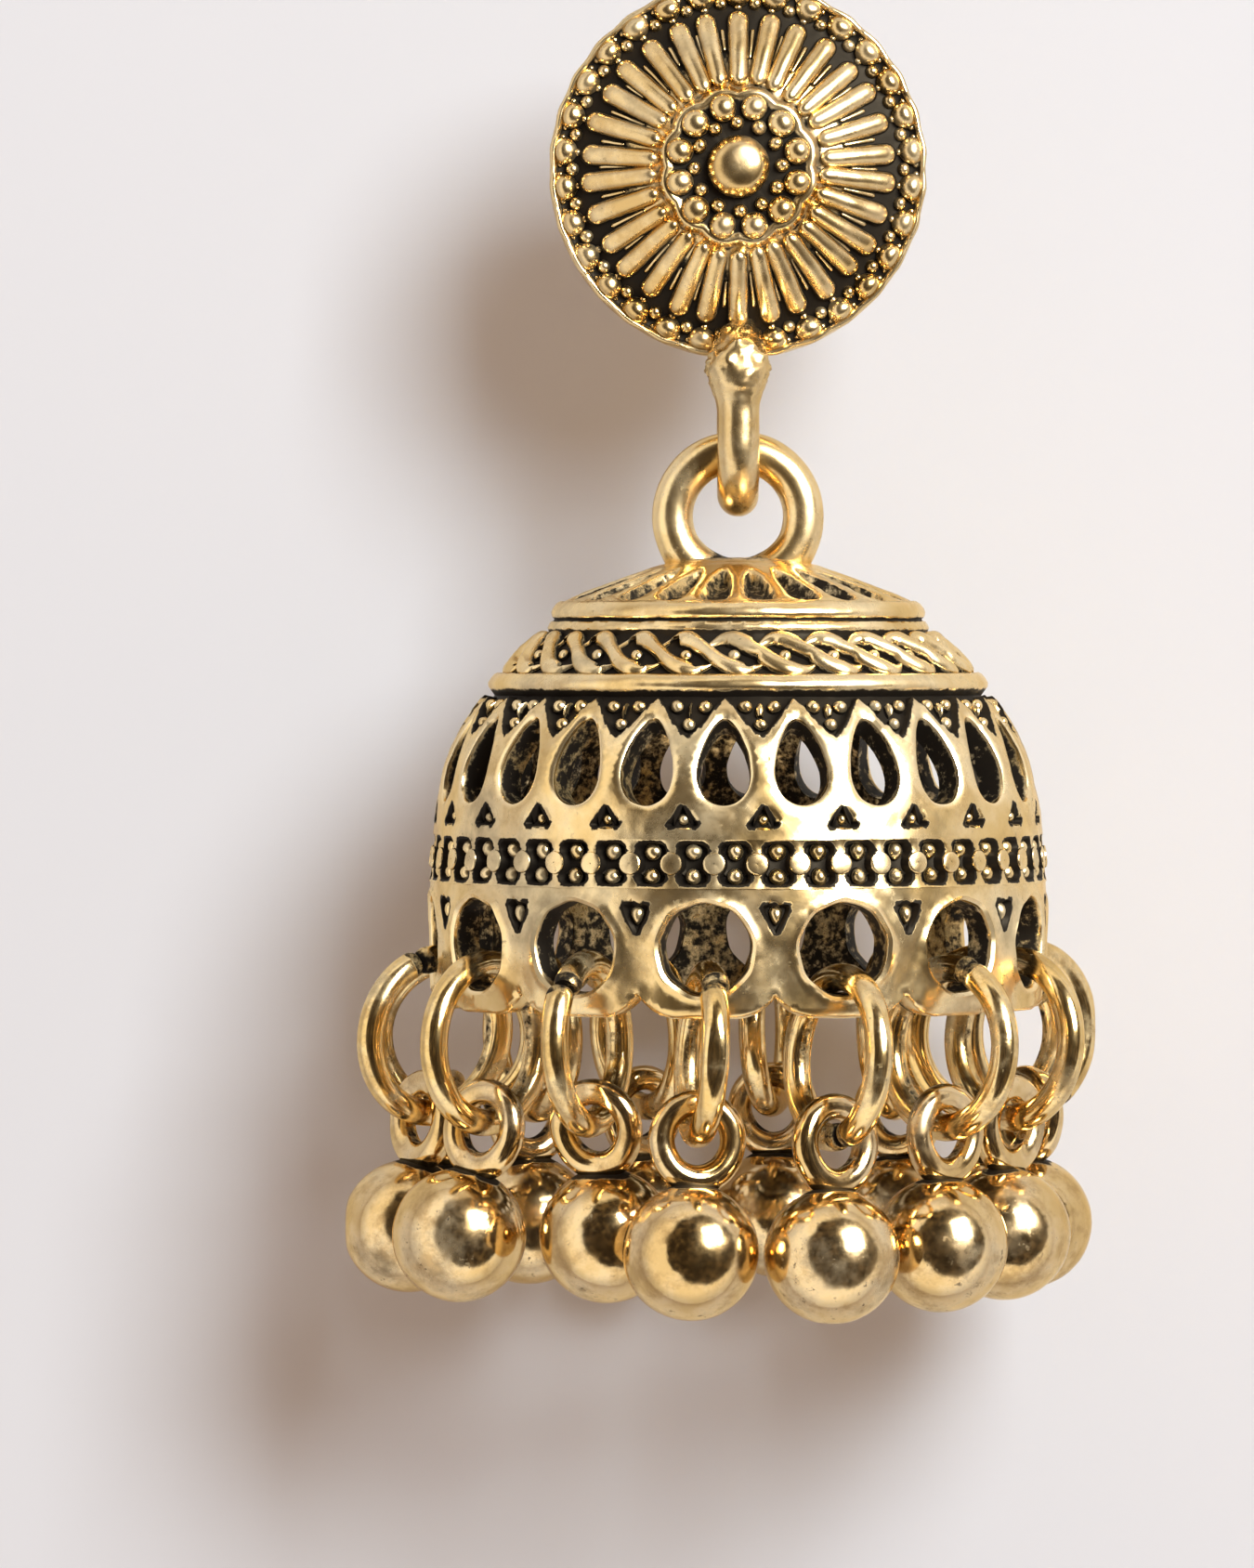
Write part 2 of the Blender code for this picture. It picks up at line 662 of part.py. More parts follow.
def make_drops(ring_gold, ball_gold, axis):
    """The jump rings through the rim holes and the balls that hang on them."""
    ring = mesh_from(
        wire_ring(JUMP_RING_RADIUS, JUMP_RING_WIRE, JUMP_RING_SEGMENTS, JUMP_RING_SIDES), "jump_ring"
    )
    ring.transform(Matrix.Translation((0.0, 0.0, -JUMP_RING_RADIUS)))
    ball, ball_reach = ball_drop_mesh()
    bar_top = CAP_TOP - BELL_HEIGHT + RIM_HOLE_BAR
    bar_radius = line_radius(0.95) - BELL_WALL / 2.0
    for i, (right, front, ring_turn, ball_turn, ride, ring_share) in enumerate(HANGING[:DROPS]):
        turn = math.radians(drop_angle(i))
        seat = bar_top + JUMP_RING_WIRE * (0.5 + ride) + LINK_CLEARANCE
        top = Vector((bar_radius * math.sin(turn), -bar_radius * math.cos(turn) - LOOP_FORWARD, seat))
        target = Vector((right * BELL_RADIUS, -front * BELL_RADIUS - LOOP_FORWARD, 0.0))
        lean = Vector((target.x - top.x, target.y - top.y, 0.0))
        length = 2.0 * JUMP_RING_RADIUS + ball_reach
        height = math.sqrt(length**2 - lean.length_squared)
        down = (lean * ring_share - Vector((0.0, 0.0, height))).normalized()
        plane = turn + math.radians(ring_turn)
        across = Vector((math.sin(plane), -math.cos(plane), 0.0))
        name = f"{i + 1:02d}"
        ring_matrix = hung(top, down, across)
        place(f"jump_ring_{name}", ring, ring_gold, axis, ring_matrix)
        low = top + down * 2.0 * JUMP_RING_RADIUS
        rest = Vector((target.x - low.x, target.y - low.y, 0.0))
        ball_down = rest - Vector((0.0, 0.0, math.sqrt(ball_reach**2 - rest.length_squared)))
        ball_plane = plane + math.radians(ball_turn)
        ball_across = Vector((math.sin(ball_plane), -math.cos(ball_plane), 0.0))
        place(f"ball_drop_{name}", ball, ball_gold, axis, hung(low, ball_down, ball_across))


def main():
    """Builds the earring."""
    clear_scene()
    disc_gold = material("disc_gold", DISC_GOLD)
    bell_gold = material("bell_gold", BELL_GOLD)
    ring_gold = material("ring_gold", RING_GOLD)
    ball_gold = material("ball_gold", BALL_GOLD)
    axis = bpy.data.objects.new("bell_swing_axis", None)
    axis.empty_display_size = LOOP_WIRE
    axis.location = LOOP_CENTRE
    bpy.context.scene.collection.objects.link(axis)
    bpy.context.view_layer.update()
    make_stud(disc_gold)
    make_bell(bell_gold, axis)
    make_drops(ring_gold, ball_gold, axis)


main()
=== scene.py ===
"""Looks of the bell drop earring: its castings, wire and balls in antique gold, before a pale wall.

Every shape is worked out in millimetres in the row frame and turned to metres when its mesh is made. The
bell, its bail, the rings and the balls ride on the body "drop", and the stud rides on the body "stud".
"""

import logging
import math
from dataclasses import dataclass, field
from enum import Enum
from typing import Callable

import bpy
import numpy as np
from bpy.types import Material, Node, NodeSocket, NodeTree, Object
from mathutils import Matrix, Vector
from mathutils.geometry import delaunay_2d_cdt

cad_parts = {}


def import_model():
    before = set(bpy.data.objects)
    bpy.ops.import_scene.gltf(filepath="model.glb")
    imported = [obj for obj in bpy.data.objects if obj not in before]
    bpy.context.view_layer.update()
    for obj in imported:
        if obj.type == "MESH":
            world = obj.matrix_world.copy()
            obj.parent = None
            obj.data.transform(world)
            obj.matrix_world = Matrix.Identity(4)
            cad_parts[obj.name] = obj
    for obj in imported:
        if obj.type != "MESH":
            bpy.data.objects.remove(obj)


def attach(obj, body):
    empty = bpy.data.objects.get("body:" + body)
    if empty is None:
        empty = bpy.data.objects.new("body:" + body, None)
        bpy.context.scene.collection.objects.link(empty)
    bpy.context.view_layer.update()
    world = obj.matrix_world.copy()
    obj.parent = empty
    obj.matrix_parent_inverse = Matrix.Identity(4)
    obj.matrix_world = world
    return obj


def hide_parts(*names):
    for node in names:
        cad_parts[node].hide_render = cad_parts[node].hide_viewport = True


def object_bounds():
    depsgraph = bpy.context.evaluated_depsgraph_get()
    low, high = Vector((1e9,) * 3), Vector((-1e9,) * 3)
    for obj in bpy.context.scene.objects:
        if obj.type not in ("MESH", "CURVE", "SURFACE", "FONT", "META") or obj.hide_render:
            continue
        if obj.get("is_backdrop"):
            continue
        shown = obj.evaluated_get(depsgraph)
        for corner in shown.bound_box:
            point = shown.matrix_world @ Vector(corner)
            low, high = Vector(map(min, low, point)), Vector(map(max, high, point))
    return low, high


LOG = logging.getLogger("earring")
MM = 0.001
# How far the loop, the bail and the bell stand before the disc's flat back, in millimetres.
FORWARD = 1.2
# An edge that is sharper than this is drawn sharp.
SHARP_ANGLE = math.radians(50.0)
ACROSS_X = (1.0, 0.0, 0.0)
ACROSS_Y = (0.0, 1.0, 0.0)
PIECES: list[Object] = []
# Gives the rise and the patina, with its painted highlights, over a tile, at (across, down) points.
Relief = Callable[["Tile", np.ndarray], tuple[np.ndarray, np.ndarray]]


class Body(Enum):
    """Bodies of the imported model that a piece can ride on."""

    STUD = "stud"
    DROP = "drop"


class Slot(Enum):
    """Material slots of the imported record."""

    DISC = "disc_gold"
    BELL = "bell_gold"
    RING = "ring_gold"
    BALL = "ball_gold"


def smooth(value: np.ndarray) -> np.ndarray:
    """Eases a value from 0 to 1 and holds it outside that span."""
    share = np.clip(value, 0.0, 1.0)
    return share * share * (3.0 - 2.0 * share)


def wander(points: np.ndarray, size: float, seed: int) -> np.ndarray:
    """A smooth uneven field between about -1 and 1, the same on each run.

    Args:
        points: places in millimetres, one row each.
        size: length of its largest swells in millimetres.
        seed: picks one field of many.

    Returns:
        One value for each point.
    """
    rng = np.random.default_rng(seed)
    total = np.zeros(len(points))
    for octave in range(3):
        ways = rng.normal(size=(5, 3))
        ways /= np.linalg.norm(ways, axis=1)[:, None]
        phase = rng.uniform(0.0, math.tau, 5)
        turn = points @ ways.T * (math.tau / size * 2.0**octave) + phase
        total += np.sin(turn).sum(axis=1) / 2.0**octave
    return total / 5.0


def distance_to(points: np.ndarray, line: np.ndarray, closed: bool) -> np.ndarray:
    """Distance of each flat point from a line of straight stretches.

    Args:
        points: flat points, one row each.
        line: corners of the line.
        closed: whether the last corner joins the first.

    Returns:
        One distance for each point.
    """
    ends = np.roll(line, -1, axis=0) if closed else line[1:]
    starts = line if closed else line[:-1]
    along = ends - starts
    length = np.maximum((along**2).sum(axis=1), 1e-12)
    offset = points[:, None, :] - starts[None]
    share = np.clip((offset * along[None]).sum(axis=2) / length, 0.0, 1.0)
    gap = offset - share[:, :, None] * along[None]
    return np.sqrt((gap**2).sum(axis=2)).min(axis=1)


def inside(points: np.ndarray, loop: np.ndarray) -> np.ndarray:
    """Which flat points lie inside a closed loop.

    Args:
        points: flat points, one row each.
        loop: corners of the loop.

    Returns:
        One true or false value for each point.
    """
    found = np.zeros(len(points), bool)
    for (x0, y0), (x1, y1) in zip(loop, np.roll(loop, -1, axis=0)):
        crosses = (y0 > points[:, 1]) != (y1 > points[:, 1])
        rise = y1 - y0 if abs(y1 - y0) > 1e-12 else 1e-12
        at = x0 + (points[:, 1] - y0) / rise * (x1 - x0)
        found ^= crosses & (points[:, 0] < at)
    return found


def sunk_in(points: np.ndarray, loop: np.ndarray, wall: float) -> tuple[np.ndarray, np.ndarray]:
    """Depth and darkness of a sunk field.

    Args:
        points: flat points, one row each.
        loop: the field's closed edge.
        wall: how wide its sloping wall is.

    Returns:
        The depth as a share of the field's whole depth, and how dark each point is.
    """
    gap = distance_to(points, loop, True)
    within = inside(points, loop)
    signed = np.where(within, gap, -gap)
    return np.where(within, smooth(gap / wall), 0.0), smooth((signed + 0.07) / 0.09)


def sunk_beside(
    points: np.ndarray, loop: np.ndarray, half: float, wall: float
) -> tuple[np.ndarray, np.ndarray]:
    """Depth and darkness of the sunk fields at both sides of a tile, as sunk_in gives them.

    Args:
        points: flat points, one row each.
        loop: edge of the field round its own middle line.
        half: half the tile's width.
        wall: how wide the field's sloping wall is.

    Returns:
        The depth and darkness, of whichever field is the deeper and darker.
    """
    left, right = (sunk_in(points, loop + np.array((side * half, 0.0)), wall) for side in (-1.0, 1.0))
    return np.maximum(left[0], right[0]), np.maximum(left[1], right[1])


def shrunk(loop: np.ndarray, share: float) -> np.ndarray:
    """A loop drawn in towards its middle, to a share of its size."""
    middle = loop.mean(axis=0)
    return middle + (loop - middle) * share


def repeated(line: np.ndarray, half: float) -> np.ndarray:
    """A line across a tile, with the same line on the tiles at both its sides."""
    width = (2 * half, 0)
    return np.concatenate([line[:-1] - width, line, line[1:] + width])


def side_creases(
    loop: np.ndarray, share: float, half: float, level: float
) -> tuple[tuple[np.ndarray, bool], ...]:
    """Creases of a sunk field that lies half on one tile and half on the next.

    Args:
        loop: edge of the field round its own middle line.
        share: size of its floor as a share of its edge.
        half: half the tile's width.
        level: how far down its middle is.

    Returns:
        Lines in the form that Tile takes.
    """
    found = []
    for side in (-1.0, 1.0):
        for edge in (loop, shrunk(loop, share)):
            shifted = edge + np.array((side * half, 0.0))
            inner = shifted[np.abs(shifted[:, 0]) <= half + 1e-6]
            order = np.argsort(np.arctan2(inner[:, 1] - level, (inner[:, 0] - side * half) * side))
            found.append((inner[order], False))
    return tuple(found)


def turns(count: int) -> np.ndarray:
    """Angles in radians, spread evenly round a circle."""
    return np.linspace(0.0, math.tau, count, endpoint=False)


def round_bell(reach: np.ndarray, turn: np.ndarray, height: np.ndarray) -> np.ndarray:
    """Points round the bell's axis, at a reach from it, a turn in radians and a height."""
    reach, turn, height = np.broadcast_arrays(reach, turn, height)
    return np.stack([reach * np.sin(turn), -FORWARD - reach * np.cos(turn), height], axis=-1)


def round_post(reach: np.ndarray, turn: np.ndarray, along: np.ndarray) -> np.ndarray:
    """Points round the post's axis, at a reach from it, a turn in radians and a place along it."""
    reach, turn, along = np.broadcast_arrays(reach, turn, along)
    return np.stack([reach * np.sin(turn), along, reach * np.cos(turn)], axis=-1)


def moved(points: np.ndarray, matrix: Matrix) -> np.ndarray:
    """Points, in rows or in a grid, turned and moved by a matrix.

    Args:
        points: places with their coordinates last.
        matrix: the move.

    Returns:
        The moved points, in the same shape.
    """
    table = np.array(matrix)
    flat = points.reshape(-1, 3) @ table[:3, :3].T + table[:3, 3]
    return flat.reshape(points.shape)


def in_scene(name: str, data: bpy.types.ID) -> Object:
    """Makes an object of some data and links it to the scene."""
    made = bpy.data.objects.new(name, data)
    bpy.context.scene.collection.objects.link(made)
    return made


@dataclass
class Casting:
    """Points, faces and patina of one piece, gathered before they become its mesh.

    The patina runs from 0 on bare gold to 1 in a black recess, and below 0 on an edge painted pale, partly
    as rubbed wear and partly as a painted highlight. On the wires' inner faces it is partly patina and
    partly painted shade.
    """

    name: str
    points: list[np.ndarray] = field(default_factory=list)
    faces: list[np.ndarray] = field(default_factory=list)
    patina_and_painted_light: list[np.ndarray] = field(default_factory=list)
    count: int = 0

    def add(self, points: np.ndarray, faces: np.ndarray, patina_and_painted_light: np.ndarray) -> None:
        """Adds one patch.

        Args:
            points: places in millimetres, one row each.
            faces: rows of three or four point numbers, with -1 for a missing fourth.
            patina_and_painted_light: one value for each point.
        """
        faces = np.asarray(faces, int)
        if faces.shape[1] == 3:
            faces = np.column_stack([faces, np.full(len(faces), -1)])
        self.faces.append(np.where(faces >= 0, faces + self.count, -1))
        self.points.append(np.asarray(points, float))
        self.patina_and_painted_light.append(np.broadcast_to(np.asarray(patina_and_painted_light, float), len(points)))
        self.count += len(points)

    def add_grid(
        self,
        grid: np.ndarray | list[np.ndarray],
        patina_and_painted_light: np.ndarray | list,
        wrap: bool = False,
        flip: bool = False,
        close: bool = False,
    ) -> None:
        """Adds a grid of quads.

        Args:
            grid: places in millimetres as rows, columns and three coordinates.
            patina_and_painted_light: one value for each point, or one for each row.
            wrap: whether the last column joins the first.
            flip: whether the faces turn the other way.
            close: whether the last row joins the first.
        """
        grid, patina_and_painted_light = np.asarray(grid), np.asarray(patina_and_painted_light, float)
        if patina_and_painted_light.ndim == 1:
            patina_and_painted_light = np.repeat(patina_and_painted_light[:, None], grid.shape[1], axis=1)
        if close:
            grid, patina_and_painted_light = (np.concatenate([rows, rows[:1]]) for rows in (grid, patina_and_painted_light))
        rows, columns = grid.shape[:2]
        number = np.arange(rows * columns).reshape(rows, columns)
        right = np.roll(number, -1, axis=1) if wrap else number[:, 1:]
        left = number if wrap else number[:, :-1]
        quads = np.stack([left[:-1], right[:-1], right[1:], left[1:]], axis=-1).reshape(-1, 4)
        if flip:
            quads = quads[:, ::-1]
        self.add(grid.reshape(-1, 3), quads, patina_and_painted_light.reshape(-1))

    def build(
        self, finish: Material, body: Body, slot: Slot, nodes: tuple[str, ...] = (), wobble: float = 0.0
    ) -> None:
        """Makes the mesh object and puts it on its body.

        Args:
            finish: material of the whole piece.
            body: body that it rides on.
            slot: material slot of its finish; not used.
            nodes: CAD nodes that it stands for.
            wobble: how far in millimetres the casting strays from its true shape.
        """
        points = np.concatenate(self.points)
        patina_and_painted_light = np.concatenate(self.patina_and_painted_light)
        _, first, index = np.unique(np.round(points, 4), axis=0, return_index=True, return_inverse=True)
        index = index.reshape(-1)
        points, patina_and_painted_light = points[first], patina_and_painted_light[first]
        if wobble:
            for axis in range(3):
                broad = wander(points, 1.9, 50 + axis)
                fine = wander(points, 0.62, 60 + axis)
                points[:, axis] += wobble * (0.65 * broad + 0.35 * fine)
        polygons = []
        for row in np.concatenate(self.faces):
            corners = list(dict.fromkeys(int(index[i]) for i in row if i >= 0))
            if len(corners) > 2:
                polygons.append(corners)
        mesh = bpy.data.meshes.new(self.name)
        mesh.from_pydata((points * MM).tolist(), [], polygons)
        layer = mesh.attributes.new("patina_and_painted_light", "FLOAT", "POINT")
        layer.data.foreach_set("value", patina_and_painted_light.astype(np.float32))
        mesh.materials.append(finish)
        mesh.shade_smooth()
        mesh.set_sharp_from_angle(angle=SHARP_ANGLE)
        made = in_scene(self.name, mesh)
        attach(made, body.value)
        if nodes:
            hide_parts(*nodes)
        PIECES.append(made)
        triangles = sum(len(corners) - 2 for corners in polygons)
        LOG.info("%s rides on %s, %d triangles", made.name, body.value, triangles)


def keep_inside(made: Object, low: list[float], high: list[float]) -> None:
    """Eases the outermost skin of a piece in, so that it stays inside the CAD model's box.

    Args:
        made: the piece.
        low: the box's lowest corner, in metres.
        high: its highest corner.
    """
    ease = 0.15 * MM
    points = np.empty(len(made.data.vertices) * 3)
    made.data.vertices.foreach_get("co", points)
    points = points.reshape(-1, 3)
    for sign, corner in ((1.0, high), (-1.0, low)):
        limit = sign * np.array(corner)
        over = np.clip(sign * points - (limit - ease), 0.0, 2.0 * ease)
        points -= sign * over**2 / (4.0 * ease)
    made.data.vertices.foreach_set("co", points.ravel())
    made.data.update()


def dome(radius: float, height: float, sides: int, rings: int) -> tuple[np.ndarray, np.ndarray]:
    """Points and faces of a half-round pearl that stands on the origin, up along its third axis.

    Args:
        radius: radius of its foot.
        height: height of its top.
        sides: points round it.
        rings: rings from foot to top.

    Returns:
        The points, and faces in the form that Casting.add takes.
    """
    points = []
    for ring in range(rings):
        rise = 0.5 * math.pi * (ring - 0.6) / (rings - 0.6)
        for side in range(sides):
            turn = math.tau * side / sides
            reach = radius * math.cos(rise)
            points.append((reach * math.cos(turn), reach * math.sin(turn), height * math.sin(rise)))
    points.append((0.0, 0.0, height))
    faces = []
    for ring in range(rings - 1):
        for side in range(sides):
            other = (side + 1) % sides
            low, high = ring * sides, (ring + 1) * sides
            faces.append((low + side, low + other, high + other, high + side))
    top = (rings - 1) * sides
    for side in range(sides):
        faces.append((top + side, top + (side + 1) % sides, len(points) - 1, -1))
    return np.array(points), np.array(faces)


def sweep(
    path: np.ndarray, across: tuple[float, ...], radii: np.ndarray, sides: int, closed: bool
) -> np.ndarray:
    """Grid of points of a round wire that follows a path.

    Args:
        path: points of its middle line, in millimetres.
        across: the way that stays square to the path.
        radii: radius at each point.
        sides: points round the wire.
        closed: whether the path closes on itself.

    Returns:
        The grid, one row for each point of the path.
    """
    if closed:
        way = np.roll(path, -1, axis=0) - np.roll(path, 1, axis=0)
    else:
        way = np.gradient(path, axis=0)
    way /= np.linalg.norm(way, axis=1)[:, None]
    out = np.cross(way, across)
    out /= np.linalg.norm(out, axis=1)[:, None]
    side_way = np.cross(out, way)
    turn = math.tau * np.arange(sides) / sides
    ring = side_way[:, None] * np.cos(turn)[:, None] + out[:, None] * np.sin(turn)[:, None]
    return path[:, None] + ring * radii[:, None, None]


def swelled(grid: np.ndarray, path: np.ndarray, swell: np.ndarray) -> np.ndarray:
    """A wire's grid whose skin is moved away from its path, by a share for each point."""
    middle = path[:, None]
    return middle + (grid - middle) * (1.0 + swell.reshape(grid.shape[:2]))[:, :, None]


@dataclass(frozen=True)
class BellLine:
    """Outer line of the bell, from the edge of its flat cap down to its mouth, in millimetres."""

    cap_top: float = -14.065
    height: float = 15.98
    radius: float = 11.03
    marks: tuple[tuple[float, float], ...] = (
        (0.000, 0.200), (0.045, 0.385), (0.094, 0.560), (0.120, 0.592), (0.152, 0.620), (0.200, 0.695),
        (0.245, 0.757), (0.288, 0.812), (0.345, 0.873), (0.395, 0.915), (0.445, 0.946), (0.525, 0.972),
        (0.611, 0.986), (0.712, 1.000), (0.860, 1.000), (1.000, 0.990),
    )

    def at(self, drop: np.ndarray) -> tuple[np.ndarray, np.ndarray]:
        """Radius and slope of the line.

        Args:
            drop: how far below the cap, in millimetres.

        Returns:
            The radius, and how fast it grows going down.
        """
        table = np.array(self.marks) * (self.height, self.radius)
        marks, radii = table[:, 0], table[:, 1]
        slopes = np.gradient(radii, marks)
        drop = np.asarray(drop, float)
        which = np.clip(np.searchsorted(marks, drop) - 1, 0, len(marks) - 2)
        span = marks[which + 1] - marks[which]
        share = (drop - marks[which]) / span
        square, cube = share**2, share**3
        radius = (
            (2 * cube - 3 * square + 1) * radii[which]
            + (cube - 2 * square + share) * span * slopes[which]
            + (3 * square - 2 * cube) * radii[which + 1]
            + (cube - square) * span * slopes[which + 1]
        )
        slope = (
            (6 * square - 6 * share) * (radii[which] - radii[which + 1]) / span
            + (3 * square - 4 * share + 1) * slopes[which]
            + (3 * square - 2 * share) * slopes[which + 1]
        )
        return radius, slope

    def place(self, angle: np.ndarray, drop: np.ndarray, raised: np.ndarray) -> np.ndarray:
        """Places on the bell.

        Args:
            angle: degrees from the front towards the viewer's right.
            drop: how far below the cap, in millimetres.
            raised: how far out along the surface's normal.

        Returns:
            Points in the row frame, with the coordinates last.
        """
        radius, slope = self.at(drop)
        length = np.sqrt(1.0 + slope**2)
        height = self.cap_top - drop + raised * slope / length
        return round_bell(radius + raised / length, np.radians(angle), height)

    def stand(self, shape: np.ndarray, angle: float, drop: float, turn: float = 0.0) -> np.ndarray:
        """Stands a small shape on the bell.

        Args:
            shape: its points, up along their third axis.
            angle: degrees from the front of the place that it stands on.
            drop: how far below the cap that place is.
            turn: degrees that the shape turns on the spot.

        Returns:
            Its points in the row frame.
        """
        radius, slope = self.at(drop)
        stretch = math.sqrt(1.0 + float(slope) ** 2)
        cos, sin = math.cos(math.radians(turn)), math.sin(math.radians(turn))
        across = shape[:, 0] * cos - shape[:, 1] * sin
        down = shape[:, 0] * sin + shape[:, 1] * cos
        return self.place(angle + np.degrees(across / float(radius)), drop + down / stretch, shape[:, 2])


@dataclass(frozen=True)
class Tile:
    """One repeat of a band of the bell, laid flat and cut into triangles round its holes and creases.

    Lengths are in millimetres: across at the band's own radius, and down the bell.
    """

    radius: float
    repeats: int
    top: float
    foot: np.ndarray
    columns: int
    rows: int
    spacing: float
    stretch: float = 1.0
    holes: tuple[np.ndarray, ...] = ()
    creases: tuple[tuple[np.ndarray, bool], ...] = ()

    @property
    def half(self) -> float:
        """Half its width."""
        return math.pi * self.radius / self.repeats

    def triangles(self) -> tuple[np.ndarray, np.ndarray]:
        """Cuts the tile up.

        Returns:
            Its flat points as (across, down), and rows of three point numbers.
        """
        down = np.linspace(self.top, self.foot[0, 1], self.rows + 1)
        left = np.column_stack([np.full(self.rows + 1, -self.half), down])[1:-1]
        right = left[::-1] * (-1.0, 1.0)
        above = np.column_stack(
            [np.linspace(-self.half, self.half, self.columns + 1), np.full(self.columns + 1, self.top)]
        )[::-1]
        border = np.concatenate([left, self.foot, right, above])
        lines = [(border, True)] + [(hole, True) for hole in self.holes] + list(self.creases)
        points, edges = [], []
        for line, closed in lines:
            start = len(points)
            points += line.tolist()
            count = len(line)
            last = count if closed else count - 1
            edges += [(start + i, start + (i + 1) % count) for i in range(last)]
        fill = self.filling(border, lines)
        points += fill.tolist()
        scaled = [Vector((x, y * self.stretch)) for x, y in points]
        found, _, faces, _, _, _ = delaunay_2d_cdt(scaled, edges, [], 0, 1e-5)
        flat = np.array([(v.x, v.y / self.stretch) for v in found])
        faces = np.array([tuple(face) for face in faces if len(face) == 3])
        middle = flat[faces].mean(axis=1)
        keep = inside(middle, border)
        for hole in self.holes:
            keep &= ~inside(middle, hole)
        a, b, c = (flat[faces[:, i]] for i in range(3))
        area = (b[:, 0] - a[:, 0]) * (c[:, 1] - a[:, 1]) - (b[:, 1] - a[:, 1]) * (c[:, 0] - a[:, 0])
        keep &= np.abs(area) > 1e-7
        faces = np.where((area > 0.0)[:, None], faces[:, ::-1], faces)
        return flat, faces[keep]

    def filling(self, border: np.ndarray, lines: list[tuple[np.ndarray, bool]]) -> np.ndarray:
        """Points spread evenly over the tile, clear of its holes and creases.

        Args:
            border: the tile's edge.
            lines: its edge, holes and creases, each with whether it is closed.

        Returns:
            Flat points.
        """
        low, high = border.min(axis=0), border.max(axis=0)
        step_down = self.spacing * 0.87 / self.stretch
        found = []
        for row, y in enumerate(np.arange(low[1] + step_down, high[1], step_down)):
            shift = self.spacing * 0.5 * (row % 2)
            for x in np.arange(low[0] + self.spacing * 0.6 + shift, high[0], self.spacing):
                found.append((x, y))
        spots = np.array(found)
        keep = inside(spots, border)
        for hole in self.holes:
            keep &= ~inside(spots, hole)
        scale = np.array((1.0, self.stretch))
        for line, closed in lines:
            keep &= distance_to(spots * scale, line * scale, closed) > self.spacing * 0.55
        return spots[keep]


def egg(width: float, height: float, middle: float, taper: float, corners: int) -> np.ndarray:
    """A drop-shaped loop, narrower at its top.

    Args:
        width: its width before the taper.
        height: its height.
        middle: how far down its middle is.
        taper: how much narrower its top is.
        corners: how many points it has.

    Returns:
        Points as (across, down).
    """
    turn = math.tau * np.arange(corners) / corners
    up = np.cos(turn)
    across = np.sin(turn) * (1.0 - taper * up)
    return np.column_stack([across * width / 2.0, middle - up * height / 2.0])


def rounded(corners: list[tuple[float, float]], radius: float) -> np.ndarray:
    """A closed loop through corners that are each rounded off.

    Args:
        corners: its corners.
        radius: how far from each corner the rounding starts.

    Returns:
        Points of the loop, five for each corner.
    """
    corners_at = np.array(corners, float)
    found = []
    for before, here, after in zip(
        np.roll(corners_at, 1, axis=0), corners_at, np.roll(corners_at, -1, axis=0)
    ):
        back = before - here
        on = after - here
        reach = min(radius, 0.45 * np.linalg.norm(back), 0.45 * np.linalg.norm(on))
        start = here + back / np.linalg.norm(back) * reach
        end = here + on / np.linalg.norm(on) * reach
        for share in np.linspace(0.0, 1.0, 5):
            found.append((1 - share) ** 2 * start + 2 * share * (1 - share) * here + share**2 * end)
    return np.array(found)


